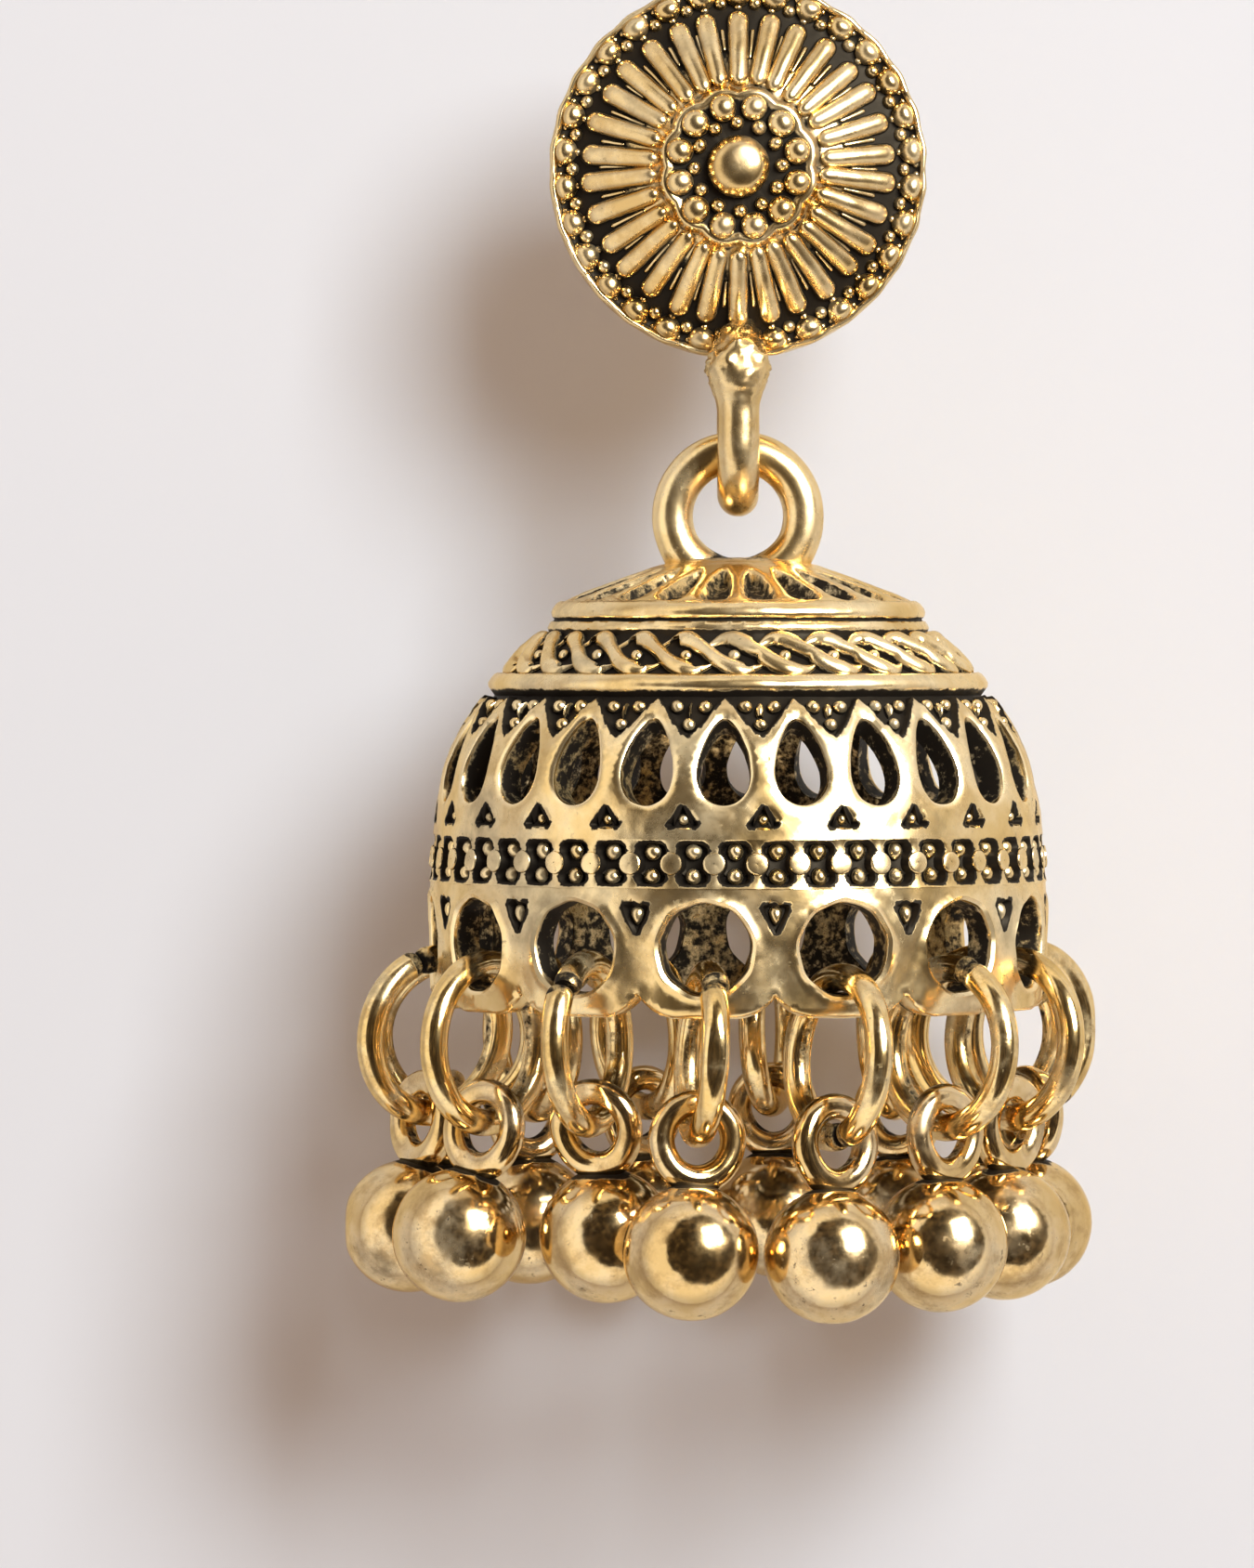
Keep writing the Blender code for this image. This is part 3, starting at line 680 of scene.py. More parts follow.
@dataclass
class PiercedBell:
    """The cast bell: fluted cap, rope band, pierced teardrops, pegged bead band and holed rim."""

    line: BellLine = field(default_factory=BellLine)
    wall: float = 1.0
    floor: float = 0.30
    lining_patina: float = 0.50
    flutes: int = 22
    strands: int = 27
    rope_middle: float = 3.25
    teardrops: int = 24
    first_teardrop: float = -3.4
    teardrops_top: float = 4.60
    teardrop_width: float = 1.84
    teardrop_height: float = 3.06
    teardrop_middle: float = 7.03
    pegs: int = 46
    first_peg: float = 2.8
    pegs_top: float = 9.72
    peg_middle: float = 10.57
    rim_top: float = 11.44
    rim_holes: int = 14
    first_rim_hole: float = -6.6
    rim_hole: float = 3.30
    rim_hole_middle: float = 13.55
    lobe: float = 0.74
    casting: Casting = field(default_factory=lambda: Casting("bell_wall"))
    relief: Casting = field(default_factory=lambda: Casting("bell_rope_and_beads"))

    def lay(self, tile: Tile, first: float, relief: Relief, lining: Tile | None = None) -> None:
        """Lays a tile round the bell, with the walls of its holes and the plain inner face behind it.

        Args:
            tile: the tile.
            first: angle of the first tile's middle, in degrees from the front.
            relief: gives the rise and the patina over the tile.
            lining: tile of the inner face, if there is one.
        """
        flat, faces = tile.triangles()
        rise, patina_and_painted_light = relief(tile, flat)
        middles = [first + 360.0 * i / tile.repeats for i in range(tile.repeats)]
        for middle in middles:
            angle = middle + np.degrees(flat[:, 0] / tile.radius)
            self.casting.add(self.line.place(angle, flat[:, 1], rise), faces, patina_and_painted_light)
            for hole in tile.holes:
                self.hole_wall(tile, hole, middle, relief)
        if lining is None:
            return
        flat, faces = lining.triangles()
        for middle in middles:
            angle = middle + np.degrees(flat[:, 0] / tile.radius)
            inner = self.line.place(angle, flat[:, 1], -self.wall)
            self.casting.add(inner, faces[:, ::-1], self.lining_patina)

    def hole_wall(self, tile: Tile, hole: np.ndarray, middle: float, relief: Relief) -> None:
        """Adds the wall of one hole, from its lip to the inside of the bell.

        Args:
            tile: the tile that has the hole.
            hole: the hole's edge.
            middle: angle of the tile's middle, in degrees from the front.
            relief: gives the rise and the patina over the tile.
        """
        lip, shade = relief(tile, hole)
        rows, shades = [], []
        # Depth below the lip as a share of the wall, how far the wall draws in, patina.
        for depth, draw, dark in (
            (0.00, 0.00, None), (0.04, 0.012, 0.00), (0.13, 0.022, 0.46), (0.30, 0.030, 0.62),
            (0.75, 0.034, 0.54), (1.00, 0.020, 0.50),
        ):
            spots = shrunk(hole, 1.0 - draw)
            angle = middle + np.degrees(spots[:, 0] / tile.radius)
            rows.append(self.line.place(angle, spots[:, 1], lip * (1.0 - depth) - depth * self.wall))
            shades.append(shade if dark is None else np.full(len(hole), dark))
        self.casting.add_grid(rows, shades, wrap=True)

    def turned_band(self, rows: tuple[tuple[float, float, float], ...], columns: int = 336) -> None:
        """Adds a plain band turned round the bell.

        Args:
            rows: (down, raised, patina) from top to foot.
            columns: points round the band.
        """
        table = np.array(rows)
        angle = np.linspace(0.0, 360.0, columns, endpoint=False)
        grid = self.line.place(angle[None, :], table[:, :1], table[:, 1:2])
        self.casting.add_grid(grid, table[:, 2], wrap=True, flip=True)

    def cap_tile(self) -> Tile:
        """The tile of the fluted cap, with the edge of its leaf pocket as its first crease."""
        radius = 4.6
        half = math.pi * radius / self.flutes
        wide = 0.70 * half
        near = wide * 0.92
        pocket = rounded([(-wide, 1.40), (-near, 0.62), (0.0, 0.30), (near, 0.62), (wide, 1.40)], 0.34)
        foot = np.column_stack([np.linspace(-half, half, 13), np.full(13, 1.50)])
        creases = ((pocket, True), (shrunk(pocket, 0.78), True))
        return Tile(radius, self.flutes, 0.0, foot, 12, 14, 0.13, 2.6, (), creases)

    def cap_relief(self, tile: Tile, spots: np.ndarray) -> tuple[np.ndarray, np.ndarray]:
        """Rounded leaves between sunk, grainy fields.

        Args:
            tile: the tile.
            spots: (across, down) points on it.

        Returns:
            The rise and the patina at each point.
        """
        flat = spots * (1.0, tile.stretch)
        pocket = tile.creases[0][0] * (1.0, tile.stretch)
        gap = distance_to(flat, pocket, True)
        within = inside(flat, pocket)
        sunk, dark = sunk_in(flat, pocket, 0.14)
        crown = np.where(within, 0.0, smooth(gap / 0.16)) * 0.09
        rise = crown * smooth(spots[:, 1] / 0.25) - 0.40 * sunk
        grain = wander(np.column_stack([flat * 3.0, flat[:, :1]]), 0.9, 4)
        rise += np.where(within, 0.05 * grain * sunk, 0.0)
        return rise, np.maximum(0.54 * dark, 0.12 * (1.0 - crown / 0.09))

    def teardrop_tile(self) -> Tile:
        """The tile with one teardrop hole."""
        radius = 10.35
        half = math.pi * radius / self.teardrops
        hole = egg(self.teardrop_width, self.teardrop_height, self.teardrop_middle, 0.27, 56)
        arch = self.arch(half)
        inner_arch = arch - np.array((0.0, 0.12))
        inner_arch[:, 1] = np.maximum(inner_arch[:, 1], 4.66)
        middle = np.array((0.0, self.teardrop_middle))
        lip = middle + (hole - middle) * (1.13, 1.08)
        foot = np.column_stack([np.linspace(-half, half, 15), np.full(15, 9.74)])
        creases = ((arch, False), (inner_arch, False), (lip, True))
        creases += side_creases(self.lower_field(), 0.72, half, 9.0)
        return Tile(radius, self.teardrops, self.teardrops_top, foot, 14, 30, 0.155, 1.1, (hole,), creases)

    def arch(self, half: float) -> np.ndarray:
        """Upper edge of a teardrop's frame, an ogee that meets its neighbours in a V.

        Args:
            half: half the tile's width.

        Returns:
            Points as (across, down).
        """
        across = np.linspace(-1.0, 1.0, 29)
        away = np.abs(across)
        rise = 4.80 + 1.36 * (0.62 * away + 0.38 * smooth(away)) ** 0.92
        return np.column_stack([across * half, rise])

    def lower_field(self) -> np.ndarray:
        """The sunk field under each V, between two teardrops, round its own middle line."""
        return rounded([(0.0, 8.50), (0.56, 9.22), (0.42, 9.32), (-0.42, 9.32), (-0.56, 9.22)], 0.16)

    def teardrop_relief(self, tile: Tile, spots: np.ndarray) -> tuple[np.ndarray, np.ndarray]:
        """Lip and frame of a teardrop, the V above and the field below.

        Args:
            tile: the tile.
            spots: (across, down) points on it.

        Returns:
            The rise and the patina at each point; below 0 the lip is painted pale, partly as rubbed wear
            and partly as a painted highlight.
        """
        arch = self.arch(tile.half)
        above = spots[:, 1] < np.interp(spots[:, 0], arch[:, 0], arch[:, 1])
        gap = distance_to(spots, repeated(arch, tile.half), False)
        round_off = np.where(above, 0.0, 0.05 * (1.0 - smooth(gap / 0.10)))
        sunk, dark = sunk_beside(spots, self.lower_field(), tile.half, 0.12)
        sunk = np.maximum(np.where(above, smooth(gap / 0.11), 0.0), sunk)
        dark = np.maximum(smooth((np.where(above, gap, -gap) + 0.05) / 0.08), dark)
        lip_gap = distance_to(spots, tile.holes[0], True)
        lip = 0.055 * np.exp(-(((lip_gap - 0.07) / 0.06) ** 2))
        lip -= 0.05 * (1.0 - smooth(lip_gap / 0.05))
        crown = 0.05 * smooth(lip_gap / 0.35)
        rise = lip + crown * (1.0 - sunk) - self.floor * sunk - round_off
        # The lip is painted pale: partly rubbed wear, partly a painted highlight.
        bright = 0.30 * np.exp(-((lip_gap / 0.12) ** 2))
        return rise, 0.04 + 0.96 * dark - bright * (1.0 - dark)

    def bead_tile(self) -> Tile:
        """The tile between two pegs of the bead band."""
        radius = 10.96
        half = math.pi * radius / self.pegs
        # Height over the peg's middle, and half its width there as it narrows to its neck and flares.
        upper = [(0.00, 0.395), (0.15, 0.37), (0.28, 0.30), (0.36, 0.22)]
        upper += [(0.47, 0.20), (0.62, 0.23), (0.72, 0.36), (0.76, 0.56)]
        side = [(half - peg, self.peg_middle - up) for up, peg in upper[:0:-1]]
        side += [(half - peg, self.peg_middle + up) for up, peg in upper]
        loop = np.array(side + [(-x, y) for x, y in side[::-1]])
        middle = np.array((0.0, self.peg_middle))
        foot = np.column_stack([np.linspace(-half, half, 9), np.full(9, self.rim_top)])
        creases = ((loop, True), (middle + (loop - middle) * (0.78, 0.90), True))
        return Tile(radius, self.pegs, self.pegs_top, foot, 8, 12, 0.15, 1.0, (), creases)

    def bead_relief(self, tile: Tile, spots: np.ndarray) -> tuple[np.ndarray, np.ndarray]:
        """A black pocket between two pegs.

        Args:
            tile: the tile.
            spots: (across, down) points on it.

        Returns:
            The rise and the patina at each point.
        """
        loop = tile.creases[0][0]
        gap = distance_to(spots, loop, True)
        sunk, dark = sunk_in(spots, loop, 0.10)
        round_off = np.where(inside(spots, loop), 0.03, 0.03 * (1.0 - smooth(gap / 0.08)))
        edge = np.minimum(np.abs(spots[:, 1] - self.pegs_top), np.abs(spots[:, 1] - self.rim_top))
        rib = 0.05 * np.exp(-((edge / 0.12) ** 2))
        return rib - 0.36 * sunk - round_off, 0.06 + 0.94 * dark

    def rim_tile(self) -> Tile:
        """The tile with one rim hole."""
        radius = 11.0
        half = math.pi * radius / self.rim_holes
        turn = math.tau * np.arange(72) / 72
        reach = self.rim_hole / 2.0 * (1.0 + 0.012 * np.cos(9.0 * turn + 0.5))
        hole = np.column_stack([reach * np.sin(turn), self.rim_hole_middle - reach * np.cos(turn)])
        middle = np.array((0.0, self.rim_hole_middle))
        lip = middle + (hole - middle) * 1.075
        across = np.linspace(-half, half, 33)
        away = np.clip((np.abs(across) / half - 0.44) / 0.56, 0.0, 1.0)
        cusp = self.lobe * (0.45 * away**1.5 + 0.55 * away**3.0)
        foot = np.column_stack([across, 15.96 - cusp])
        above_foot = foot - np.array((0.0, 0.16))
        above_foot[0, 0], above_foot[-1, 0] = -half, half
        creases = ((lip, True), (above_foot[1:-1], False))
        creases += side_creases(self.rim_field(), 0.74, half, 12.4)
        return Tile(radius, self.rim_holes, self.rim_top, foot, 24, 20, 0.19, 1.0, (hole,), creases)

    def rim_field(self) -> np.ndarray:
        """The sunk field between two rim holes, round its own middle line."""
        corners = [(-0.50, 11.98), (0.50, 11.98), (0.42, 12.35), (0.0, 13.12), (-0.42, 12.35)]
        return rounded(corners, 0.18)

    def rim_relief(self, tile: Tile, spots: np.ndarray) -> tuple[np.ndarray, np.ndarray]:
        """Lip, bar and lobe of a rim hole, and the field beside it.

        Args:
            tile: the tile.
            spots: (across, down) points on it.

        Returns:
            The rise and the patina at each point.
        """
        sunk, dark = sunk_beside(spots, self.rim_field(), tile.half, 0.12)
        lip_gap = distance_to(spots, tile.holes[0], True)
        lip = 0.09 * np.exp(-(((lip_gap - 0.09) / 0.09) ** 2))
        lip -= 0.05 * (1.0 - smooth(lip_gap / 0.06))
        edge_gap = distance_to(spots, repeated(tile.foot, tile.half), False)
        roll = -0.16 * (1.0 - smooth(edge_gap / 0.17)) ** 2
        away = np.abs(spots[:, 0]) / tile.half
        low = smooth((spots[:, 1] - 12.9) / 0.9) * smooth((away - 0.66) / 0.3)
        hollow = -0.07 * low * (1.0 - np.exp(-((edge_gap / 0.35) ** 2)))
        rise = lip + roll + hollow - self.floor * sunk
        # The lip and the foot's edge are painted pale: partly rubbed wear, partly a painted highlight.
        bright = 0.30 * np.exp(-((lip_gap / 0.14) ** 2)) + 0.2 * np.exp(-((edge_gap / 0.10) ** 2))
        return rise, 0.04 + 0.20 * low + 0.96 * dark - bright * (1.0 - dark)

    def lower_edge(self, tile: Tile) -> None:
        """Closes the wall under the lobes.

        Args:
            tile: the rim's tile.
        """
        foot = tile.foot
        rise, _ = self.rim_relief(tile, foot)
        for i in range(self.rim_holes):
            middle = self.first_rim_hole + 360.0 * i / self.rim_holes
            angle = middle + np.degrees(foot[:, 0] / tile.radius)
            rows = []
            for depth, below in ((0.0, 0.0), (0.12, 0.015), (0.5, 0.02), (0.9, 0.01), (1.0, 0.0)):
                out = rise * (1.0 - depth) - depth * self.wall
                rows.append(self.line.place(angle, foot[:, 1] + below, out))
            self.casting.add_grid(rows, (0.0, 0.05, 0.3, 0.5, 0.6), flip=True)

    def cap_centre(self) -> None:
        """Adds the plain middle of the cap, under the bail."""
        radius = float(self.line.at(0.0)[0])
        turn = np.radians(np.linspace(0.0, 360.0, 264, endpoint=False))
        rows = [
            round_bell(radius * share, turn, self.line.cap_top + up)
            for share, up in ((0.02, 0.16), (0.4, 0.14), (0.75, 0.09), (0.93, 0.03), (1.0, 0.0))
        ]
        self.casting.add_grid(rows, (0.5, 0.5, 0.5, 0.4, 0.35), wrap=True, flip=True)

    def inner_crown(self) -> None:
        """Closes the inside of the bell above its pierced bands."""
        turn = np.radians(np.linspace(0.0, 360.0, 96, endpoint=False))
        start, slope = (float(value) for value in self.line.at(self.teardrops_top))
        length = math.sqrt(1.0 + slope**2)
        radius = start - self.wall / length
        top = self.line.cap_top - 1.95
        foot = self.line.cap_top - self.teardrops_top - self.wall * slope / length
        rows = []
        for lean in np.linspace(0.0, 1.0, 10) * math.pi / 2.0:
            reach = max(radius * math.sin(lean), 0.05)
            rows.append(round_bell(reach, turn, foot + (top - foot) * math.cos(lean)))
        self.casting.add_grid(rows, np.full(10, self.lining_patina), wrap=True)

    def ribbon(self, centre: np.ndarray, widths: np.ndarray, heights: np.ndarray, base: float) -> None:
        """Adds a raised strand with a rounded back.

        Args:
            centre: (angle, down) points of its middle line.
            widths: its width at each point, in millimetres.
            heights: how high its back stands over the floor at each point.
            base: rise of the floor.
        """
        radius, slope = self.line.at(centre[:, 1])
        stretch = np.sqrt(1.0 + slope**2)
        flat = np.column_stack([np.radians(centre[:, 0]) * radius, centre[:, 1] * stretch])
        way = np.gradient(flat, axis=0)
        way /= np.linalg.norm(way, axis=1)[:, None]
        side = np.column_stack([-way[:, 1], way[:, 0]])
        rows, shades = [], []
        for turn in np.linspace(0.0, math.pi, 11):
            across = math.cos(turn)
            up = abs(math.sin(turn)) ** 0.62
            offset = side * (across * widths / 2.0)[:, None]
            angle = centre[:, 0] + np.degrees(offset[:, 0] / radius)
            down = centre[:, 1] + offset[:, 1] / stretch
            rows.append(self.line.place(angle, down, base - 0.06 + (heights + 0.06) * up))
            shades.append(np.full(len(centre), smooth((0.66 - up) / 0.42)))
        self.relief.add_grid(rows, shades)

    def rope(self) -> None:
        """Adds the slanting strands of the rope band and the bead in each eye."""
        step = 360.0 / self.strands
        share = np.linspace(0.0, 1.0, 33)
        wave = np.cos(np.radians(-60.0 + 300.0 * share))
        ends = np.minimum(share, 1.0 - share)
        for i in range(self.strands):
            slip = 0.35 * math.sin(2.3 * i)
            middle = 5.2 + step * i + slip
            angle = middle + step * (share - 0.5) * 2.2
            down = self.rope_middle - 0.55 * wave
            widths = 0.10 + 0.64 * smooth((ends + 0.05) / 0.32)
            heights = 0.12 + 0.30 * smooth(ends / 0.30)
            self.ribbon(np.column_stack([angle, down]), widths, heights, -0.20)
            self.bead(middle + step * 0.5, self.rope_middle, 0.25, 0.26, -0.22)

    def bead(self, angle: float, down: float, radius: float, height: float, base: float) -> None:
        """Adds a half-round granule that stands on a sunk floor.

        Args:
            angle: degrees from the front.
            down: how far below the cap.
            radius: radius of its foot.
            height: height of its top over its foot.
            base: rise of the floor.
        """
        shape, faces = dome(radius, height, 14, 6)
        seed = int(abs(angle) * 7.0 + down * 13.0)
        shape = shape * (1.0 + 0.06 * math.sin(seed), 1.0 + 0.06 * math.cos(seed * 1.7), 1.0)
        shade = smooth((0.66 - shape[:, 2] / height) / 0.5)
        shape = shape + (0.0, 0.0, base)
        self.relief.add(self.line.stand(shape, angle, down, 25.0 * math.sin(seed)), faces, shade)

    def granules(self) -> None:
        """Adds the beads and teeth of the V fields, the lower fields, the bead band and the rim."""
        for i in range(self.teardrops):
            middle = self.first_teardrop + 360.0 * (i + 0.5) / self.teardrops
            for side in (-1.0, 1.0):
                self.bead(middle + 3.15 * side, 5.03, 0.27, 0.34, -self.floor)
            self.bead(middle, 5.66, 0.26, 0.34, -self.floor)
            tooth = np.array([(middle, 4.98), (middle, 5.12), (middle, 5.26), (middle, 5.36)])
            self.ribbon(tooth, np.array((0.22, 0.30, 0.30, 0.22)), np.array((0.2, 0.3, 0.3, 0.2)), -0.28)
            self.bead(middle, 9.02, 0.215, 0.26, -self.floor)
        for i in range(self.pegs):
            middle = 360.0 * (i + 0.5) / self.pegs + self.first_peg
            for side in (-1.0, 1.0):
                self.bead(middle, self.peg_middle + 0.44 * side, 0.325, 0.38, -0.40)
            self.peg(360.0 * i / self.pegs + self.first_peg)
        for i in range(self.rim_holes):
            middle = self.first_rim_hole + 360.0 * (i + 0.5) / self.rim_holes
            shape, faces = dome(0.24, 0.30, 14, 6)
            wide = 1.0 - 0.45 * shape[:, 1] / 0.24
            shape = np.column_stack([shape[:, 0] * wide, shape[:, 1] * 1.45, shape[:, 2] - self.floor])
            shade = smooth((0.62 - (shape[:, 2] + self.floor) / 0.30) / 0.5)
            self.relief.add(self.line.stand(shape, middle, 12.38), faces, shade)

    def peg(self, angle: float) -> None:
        """Adds the round flat button of one peg.

        Args:
            angle: degrees from the front.
        """
        turn = turns(20)
        rows, shades = [], []
        # Reach, rise and patina; the button's top edge goes below 0 and is painted pale, partly as rubbed
        # wear and partly as a painted highlight.
        for reach, rise, shade in (
            (0.40, -0.08, 0.9), (0.395, 0.02, 0.7), (0.37, 0.08, -0.1), (0.30, 0.10, -0.1),
            (0.02, 0.09, 0.0),
        ):
            shape = np.column_stack([reach * np.cos(turn), reach * np.sin(turn), np.full(20, rise)])
            rows.append(self.line.stand(shape, angle, self.peg_middle))
            shades.append(shade)
        self.relief.add_grid(rows, shades, wrap=True)

    def build(self, finish: Material) -> None:
        """Makes the bell's wall and its relief.

        Args:
            finish: the bell's material.
        """
        self.cap_centre()
        cap, drop, bead, rim = self.cap_tile(), self.teardrop_tile(), self.bead_tile(), self.rim_tile()
        self.lay(cap, 180.0 / self.flutes - 0.8, self.cap_relief)
        # The band's crests go below 0 and are painted pale, partly as rubbed wear and partly as a painted
        # highlight.
        self.turned_band(
            (
                (1.46, -0.05, 0.7), (1.50, 0.06, 0.3), (1.56, 0.19, 0.0), (1.66, 0.23, -0.1),
                (1.82, 0.23, 0.0), (1.94, 0.20, 0.0), (2.02, 0.10, 0.2), (2.05, -0.04, 0.9),
                (2.12, -0.04, 0.8), (2.17, 0.04, 0.2), (2.30, 0.05, 0.1), (2.40, 0.03, 0.2),
                (2.45, -0.10, 0.8), (2.52, -0.20, 1.0), (3.20, -0.22, 1.0), (3.96, -0.20, 1.0),
                (4.03, 0.02, 0.6), (4.09, 0.16, 0.1), (4.18, 0.21, -0.1), (4.32, 0.21, 0.0),
                (4.46, 0.18, 0.0), (4.53, 0.08, 0.2), (4.57, -0.15, 0.8), (4.60, -0.30, 1.0),
            )
        )
        self.rope()
        self.lay(drop, self.first_teardrop, self.teardrop_relief, drop)
        plain = Tile(bead.radius, self.pegs, bead.top, bead.foot, 8, 4, 0.5)
        self.lay(bead, 180.0 / self.pegs + self.first_peg, self.bead_relief, plain)
        self.lay(rim, self.first_rim_hole, self.rim_relief, rim)
        self.lower_edge(rim)
        self.inner_crown()
        self.granules()
        self.casting.build(finish, Body.DROP, Slot.BELL, ("bell",), wobble=0.028)
        self.relief.build(finish, Body.DROP, Slot.BELL, wobble=0.028)


@dataclass
class Bail:
    """The ring cast on the bell's cap, with feet that flare into it."""

    radius: float = 2.35
    wire: float = 1.47
    height: float = -12.465

    def build(self, finish: Material) -> None:
        """Makes the ring.

        Args:
            finish: the bell's material.
        """
        made = Casting("bail_ring")
        turn = turns(128)
        side, up = self.radius * np.sin(turn), self.height + self.radius * np.cos(turn)
        path = np.column_stack([side, np.full(128, -FORWARD), up])
        radii = self.wire / 2.0 * (1.0 + 0.16 * smooth((-np.cos(turn) - 0.35) / 0.6))
        grid = sweep(path, ACROSS_Y, radii, 28, True)
        grid = swelled(grid, path, wander(grid.reshape(-1, 3), 2.2, 11) * 0.018)
        shade = 0.10 + 0.45 * smooth((-np.cos(turn) - 0.55) / 0.4)
        made.add_grid(grid, shade, wrap=True, close=True)
        made.build(finish, Body.DROP, Slot.BELL)


@dataclass
class FlowerStud:
    """The cast disc with its petals and pearls, its loop and the ear post.

    The profile's rows are a radius and how far the disc's front stands before its back there.
    """

    petals: int = 30
    inner_pearls: int = 12
    crown: float = 3.1
    boss_radius: float = 1.12
    boss_rise: float = 0.90
    loop_wire: float = 1.48
    loop_half_width: float = 1.9
    loop_bottom: float = -11.71
    profile: tuple[tuple[float, float], ...] = (
        (0.0, 2.98), (2.30, 2.98), (2.52, 3.10), (2.66, 3.12), (2.78, 3.02), (2.88, 2.80), (3.3, 2.62),
        (4.37, 2.10), (5.2, 1.58), (5.87, 1.20), (6.3, 1.10), (6.44, 1.12), (6.52, 1.26), (6.60, 1.38),
        (6.70, 1.40), (6.77, 1.34), (6.79, 1.26),
    )
    disc: Casting = field(default_factory=lambda: Casting("stud_disc"))
    relief: Casting = field(default_factory=lambda: Casting("stud_petals_and_pearls"))

    def front(self, reach: np.ndarray) -> np.ndarray:
        """How far the disc's front stands before its back at a radius."""
        marks, rises = np.array(self.profile).T
        return np.interp(reach, marks, rises)

    def place(self, angle: np.ndarray, reach: np.ndarray, raised: np.ndarray) -> np.ndarray:
        """Places on the disc's front, at angles in degrees from straight up."""
        return round_post(reach, np.radians(angle), -self.front(reach) - raised)

    def beside(self, angle: float, across: np.ndarray, out: np.ndarray, front: np.ndarray) -> np.ndarray:
        """Points beside a spoke of the disc.

        Args:
            angle: the spoke's angle in degrees from straight up.
            across: how far beside it.
            out: how far out along it.
            front: how far before the disc's back.

        Returns:
            Points in the row frame.
        """
        sin, cos = math.sin(math.radians(angle)), math.cos(math.radians(angle))
        return np.column_stack([out * sin + across * cos, -front, out * cos - across * sin])

    def plate(self) -> None:
        """Adds the disc's front, side and back."""
        columns = 240
        angle = np.linspace(0.0, 360.0, columns, endpoint=False)
        wave = np.abs(np.cos(np.radians(angle * self.inner_pearls / 2.0 - 90.0))) - 0.6
        rows, shades = [], []
        # Radius, patina and scallop depth; the crests of the pearl ring and of the rim go below 0 and are
        # painted pale, partly as rubbed wear and partly as a painted highlight.
        for reach, shade, lobe in (
            (0.02, 0.95, 0.0), (1.00, 1.0, 0.0), (1.40, 1.0, 0.0), (2.00, 1.0, 0.0), (2.30, 0.8, 0.03),
            (2.50, 0.30, 0.055), (2.60, 0.02, 0.06), (2.68, -0.1, 0.06), (2.74, 0.0, 0.06),
            (2.82, 0.25, 0.06), (2.90, 0.45, 0.05), (3.10, 0.20, 0.02), (3.40, 0.18, 0.0),
            (3.80, 0.40, 0.0), (4.20, 0.66, 0.0), (4.70, 0.90, 0.0), (5.20, 1.0, 0.0), (5.60, 1.0, 0.0),
            (5.87, 1.0, 0.0), (6.15, 1.0, 0.0), (6.38, 1.0, 0.0), (6.46, 0.8, 0.0), (6.53, 0.35, 0.0),
            (6.60, 0.0, 0.0), (6.68, -0.15, 0.0), (6.75, -0.1, 0.0), (6.79, 0.0, 0.0),
        ):
            points = self.place(angle, reach, 0.0)
            points[:, 0::2] *= (1.0 + lobe * wave)[:, None]
            rows.append(points)
            shades.append(shade)
        grid, dark = np.array(rows), np.array(shades)
        grain = wander(grid.reshape(-1, 3), 0.9, 21).reshape(len(rows), columns)
        grid[:, :, 1] -= 0.035 * grain * (dark[:, None] > 0.15)
        bulge = 0.035 * np.cos(np.radians(angle * self.petals))
        for row, share in ((-4, 0.3), (-3, 0.6), (-2, 0.9), (-1, 1.0)):
            out = 1.0 + (bulge - 0.035) * share / 6.79
            grid[row, :, 0::2] *= out[:, None]
        self.disc.add_grid(grid, dark, wrap=True)
        turn = np.radians(angle)
        side_rows = []
        for reach, depth in (
            (6.79, 1.26), (6.79, 1.1), (6.78, 0.6), (6.77, 0.12), (6.70, 0.0), (5.0, 0.0), (0.5, 0.0),
        ):
            side = reach + (bulge - 0.035) * min(depth, 1.0)
            side_rows.append(round_post(side, turn, -depth))
        side_rows[0] = grid[-1]
        self.disc.add_grid(side_rows, (0.0, 0.0, 0.08, 0.1, 0.2, 0.3, 0.4), wrap=True)

    def pearl(self, angle: float, reach: float, radius: float, height: float, dark: float = 1.0) -> None:
        """Adds a half-round pearl that stands on the disc.

        Args:
            angle: degrees from straight up.
            reach: radius that it stands at.
            radius: radius of its foot.
            height: height of its top.
            dark: patina at its foot.
        """
        large = radius > 0.3
        shape, faces = dome(radius, height, 20 if large else 12, 8 if large else 5)
        seed = angle * 3.7 + reach * 11.0
        across = shape[:, 0] * (1.0 + 0.05 * math.sin(seed))
        out = reach + shape[:, 1] * (1.0 + 0.05 * math.cos(seed * 1.3))
        shade = smooth((0.62 - shape[:, 2] / height) / 0.5) * dark
        points = self.beside(angle, across, out, self.front(reach) + shape[:, 2])
        self.relief.add(points, faces, shade)

    def rim_pearl(self, angle: float) -> None:
        """Adds a shield-shaped pearl whose broad side runs into the rim.

        Args:
            angle: degrees from straight up.
        """
        shape, faces = dome(0.50, 0.56, 26, 9)
        outward = shape[:, 1] / 0.50
        across = shape[:, 0] * (1.04 + 0.16 * outward)
        out = 6.24 + shape[:, 1] * np.where(outward > 0.0, 0.80, 0.96)
        shade = smooth((0.50 - shape[:, 2] / 0.56) / 0.4) * np.where(outward > 0.55, 0.3, 1.0)
        self.relief.add(self.beside(angle, across, out, self.front(6.2) + shape[:, 2]), faces, shade)

